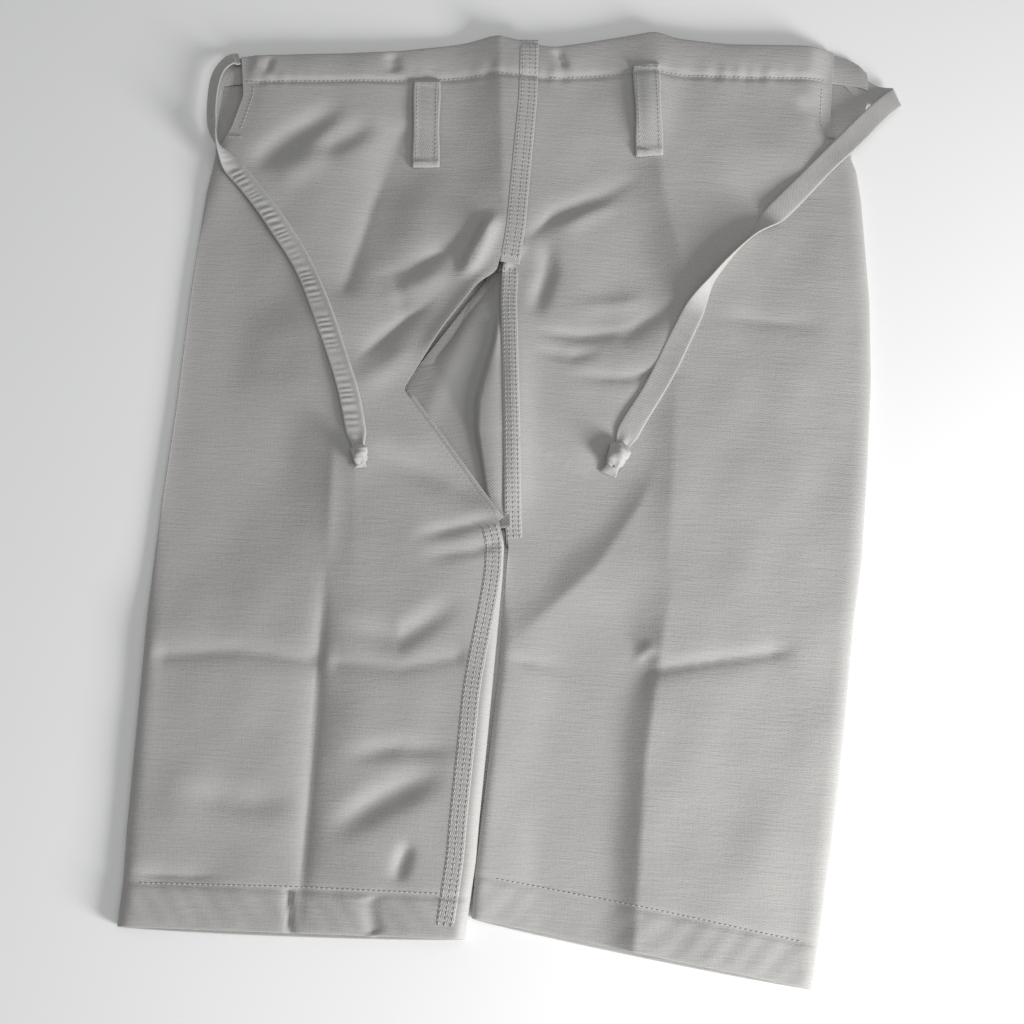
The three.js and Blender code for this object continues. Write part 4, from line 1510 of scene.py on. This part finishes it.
        rings = (path[:, None] + across[:, None] * (half * s)[:, :, None]
                 + normal[:, None] * height[:, :, None])
        piece = loft(name, rings)
        set_uv(piece, np.repeat(count * step * MM, len(s)), (half * s * MM).ravel())
        return piece

    def build(self, wardrobe: Wardrobe) -> None:
        corners = ((-228.0, -14.0, 2.6), (-100.0, -14.0, 2.6), (100.0, -14.0, 2.6), (236.0, -19.0, 2.6))
        hidden = self.curve(np.array(corners))
        run = self.tape("drawstring_hidden_run", hidden, np.zeros(len(hidden)))
        pin(run, wardrobe.tape, "tape", "drawstring_in_waist", body="drawstring")
        turns = {-1: ((0.0, 0.05, 0.12, 0.19, 0.235, 0.30, 1.0),
                      (0.3, 0.55, 0.75, 0.85, 1.5, math.pi, math.pi)),
                 1: ((0.0, 0.46, 0.52, 0.64, 0.71, 1.0), (0.0, 0.0, 1.1, 1.8, math.pi, math.pi))}
        fold = self.hairpin(self.curve(self.route(1), self.step))
        styles = {-1: {"ladder": 0.66, "rim": -1.0, "narrow": 0.62, "width": 14.5},
                  1: {"ladder": 0.06, "width": 16.0, "hairpin": fold, "narrow": 0.55}}
        for side, name, on in ((-1, "left", on_left), (1, "right", on_right)):
            path = self.curve(self.route(side), self.step)
            share = np.linspace(0.0, 1.0, len(path))
            roll = np.interp(share, *turns[side])
            roll = np.convolve(np.pad(roll, 6, mode="edge"), np.ones(13) / 13.0, mode="valid")
            free = ease(0.2, 0.26, share) if side < 0 else ease(0.22, 0.3, share)
            path[:, 2] += np.abs(np.sin(roll)) * self.twist_lift * free
            end = self.tape(f"drawstring_{name}_tape", path, roll, **styles[side])
            dress(end, wardrobe.tape, "tape", f"drawstring_{name}_end")
            knot = self.knot(name, path, on, 7.0 if side < 0 else 9.2, 5.0 if side < 0 else 9.0)
            dress(knot, wardrobe.tape, "tape", f"{name}_knot")
            row = in_row(path)
            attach(end, "drawstring")
            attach(knot, "drawstring")
            self.width * MM

    @staticmethod
    def hairpin(path: Array) -> float:
        """Share of a path's length where it lies furthest to the right."""
        return float(np.argmax(path[:, 0])) / (len(path) - 1.0)

    def knot(self, name: str, path: Array, on: Surface, size: float, tail: float) -> bpy.types.Object:
        """An overhand knot with a short tail.

        The knot is a ball whose radius swells in slanting wraps, 1 + 0.17 cos(2c + 2.4b) over its
        angles b and c, with finer creases round them. The tail is a short flat bar that spreads
        and thins to its cut end.

        Args:
            name: left or right.
            path: the cord's centre line.
            on: the cloth under it.
            size: half the knot's length.
            tail: length of the tail.

        Returns:
            The object.
        """
        heading = path[-1] - path[-12]
        heading[2] = 0.0
        heading /= np.linalg.norm(heading)
        beside, up = np.array([-heading[1], heading[0], 0.0]), np.array([0.0, 0.0, 1.0])
        centre = path[-1] + heading * (size * 0.62)
        centre[2] = on(centre[0:1], centre[1:2])[0] + size * 0.58
        b = np.linspace(0.02, math.pi - 0.02, 40)[:, None]
        c = np.linspace(0.0, 2.0 * math.pi, 48, endpoint=False)[None, :]
        wraps = 1.0 + 0.17 * np.cos(2.0 * c + 2.4 * b) + 0.07 * np.sin(5.0 * c - 4.0 * b + 1.0)
        wraps += 0.035 * np.sin(11.0 * b + 3.0 * np.sin(c) + 2.0)
        radius = np.sin(b) ** 0.75 * wraps
        lengthways = size * np.cos(b) + 0.06 * size * np.sin(3.0 * c)
        rings = (centre + heading * lengthways[:, :, None]
                 + beside * (0.86 * size * radius * np.cos(c))[:, :, None]
                 + up * (0.62 * size * radius * np.sin(c))[:, :, None])
        ball = loft(f"drawstring_{name}_knot", rings)
        set_uv(ball, np.repeat(size * b.ravel(), 48) * MM, np.tile(c.ravel(), 40) * MM)
        reach = np.linspace(0.0, 1.0, 12)[:, None]
        s = np.array([-1.0, -0.85, -0.4, 0.0, 0.4, 0.85, 1.0, 0.85, 0.4, 0.0, -0.4, -0.85])
        t = np.array([0.0, 0.8, 1.0, 0.9, 1.0, 0.8, 0.0, -0.8, -1.0, -0.9, -1.0, -0.8])
        middle = centre + heading * (size * 0.6 + tail * reach) - beside * 1.6 * reach**2
        laid = on(middle[:, 0], middle[:, 1]) + 1.4
        middle[:, 2] = centre[2] * (1 - reach[:, 0]) + laid * reach[:, 0]
        half = size * 0.45 + 0.22 * size * reach + 0.3 * np.sin(reach * 9.0)
        frayed = (0.5 * np.sin(7.0 * s) * reach**4)
        ring = (middle[:, None] + beside * (half * s)[:, :, None] + heading * frayed[:, :, None]
                + up * (1.0 * (1.3 - reach) * t + 0.5 * np.sin(s * 4.0 + reach * 3.0))[:, :, None])
        end = loft(f"drawstring_{name}_tail", ring)
        set_uv(end, np.repeat(tail * reach.ravel(), 12) * MM, (half * s).ravel() * MM)
        with bpy.context.temp_override(active_object=ball, selected_editable_objects=[ball, end]):
            bpy.ops.object.join()
        return ball


# ---------------------------------------------------------------------------------- studio


@dataclass
class Studio:
    """Floor, lights and camera."""

    elevation: float = 75.0
    distance: float = 1.0
    aim: Point = (-19.6, -366.0)
    floor_half: float = 4.0
    air_light: float = 0.28

    def build(self) -> None:
        """Builds the studio: a pale floor, a low key light from the lower right, and soft fill."""
        scene = bpy.context.scene
        mesh = bpy.data.meshes.new("floor")
        far = self.floor_half
        corners = [(-far, -far, 0.0), (far, -far, 0.0), (far, far, 0.0), (-far, far, 0.0)]
        mesh.from_pydata(corners, [], [(0, 1, 2, 3)])
        floor = bpy.data.objects.new("floor", mesh)
        mesh.materials.append(PaperFinish().material())
        scene.collection.objects.link(floor)
        world = bpy.data.worlds.new("studio_air")
        world.use_nodes = True
        background = world.node_tree.nodes["Background"]
        background.inputs[0].default_value = (0.98, 0.99, 1.0, 1.0)
        background.inputs[1].default_value = self.air_light
        scene.world = world
        aim = Vector(in_row(np.array([*self.aim, 0.0])))
        self.lamp("key", Vector((1.12, -0.93, 0.47)), aim + Vector((0.05, -0.05, 0.0)), 0.46, 32.0)
        self.lamp("fill", Vector((0.40, 0.05, 1.75)), aim, 1.6, 6.9)
        camera = bpy.data.cameras.new("camera")
        camera.lens, camera.sensor_width = 50.0, 36.0
        eye = bpy.data.objects.new("camera", camera)
        up = math.radians(self.elevation)
        eye.location = aim + Vector((0.0, -math.cos(up), math.sin(up))) * self.distance
        eye.rotation_euler = (aim - eye.location).to_track_quat("-Z", "Y").to_euler()
        scene.collection.objects.link(eye)
        scene.camera = eye
        scene.view_settings.view_transform = "Standard"
        scene.view_settings.look = "None"

    @staticmethod
    def lamp(name: str, place: Vector, aim: Vector, size: float, power: float) -> None:
        """A square area light at a place, turned towards a point."""
        data = bpy.data.lights.new(name, "AREA")
        data.size, data.energy = size, power
        lamp = bpy.data.objects.new(name, data)
        lamp.location = place
        lamp.rotation_euler = (aim - place).to_track_quat("-Z", "Y").to_euler()
        bpy.context.scene.collection.objects.link(lamp)


def declare_leg(piece: bpy.types.Object, leg: LegCloth) -> None:
    """Bakes the leg's placement into its mesh; the cut length that it works out is not used."""
    across_crease(piece)
    length = -0.5 * (leg.hem_inner_y + leg.hem_outer_y) + 2.0 * leg.turned
    length * MM


def main() -> None:
    """Builds the studio and every piece, and reports each one."""
    Studio().build()
    wardrobe = Wardrobe()
    Drawstring().build(wardrobe)
    bands = {"left": "front_waistband", "right": "back_waistband"}
    for leg in (LEFT_LEG, RIGHT_LEG):
        solids = [f"{leg.name}_{half}_{part}" for half in ("thigh", "shin")
                  for part in ("front", "back", "outer_fold", "inner_fold")]
        solids += [f"{bands[leg.name]}_{part}"
                   for part in ("lower_layer", "upper_layer", "fold", "sewn_edge")]
        cloth = dress(leg.build(), wardrobe.cotton, "cotton", *solids, f"{leg.name}_hem")
        declare_leg(cloth, leg)
    # The gusset's darker twill is painted shade.
    gusset = dress(Gusset().build(), wardrobe.gusset, "cotton", "crotch_gusset")
    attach(gusset, "trousers")
    seams = Seams()
    seams.centre_front(wardrobe)
    seams.centre_back(wardrobe)
    seams.gusset_edge(wardrobe)
    seams.waist_rows(wardrobe)
    for leg in (LEFT_LEG, RIGHT_LEG):
        seams.inseam(leg, wardrobe)
        seams.hem_rows(leg, wardrobe)
        seams.slit_hems(leg, wardrobe)
    BeltLoop("left", (-84.0, -28.0), (-84.0, -101.0), -1).build(wardrobe)
    BeltLoop("right", (82.0, -18.0), (83.0, -93.0), 1).build(wardrobe)


if __name__ == "__main__":
    main()
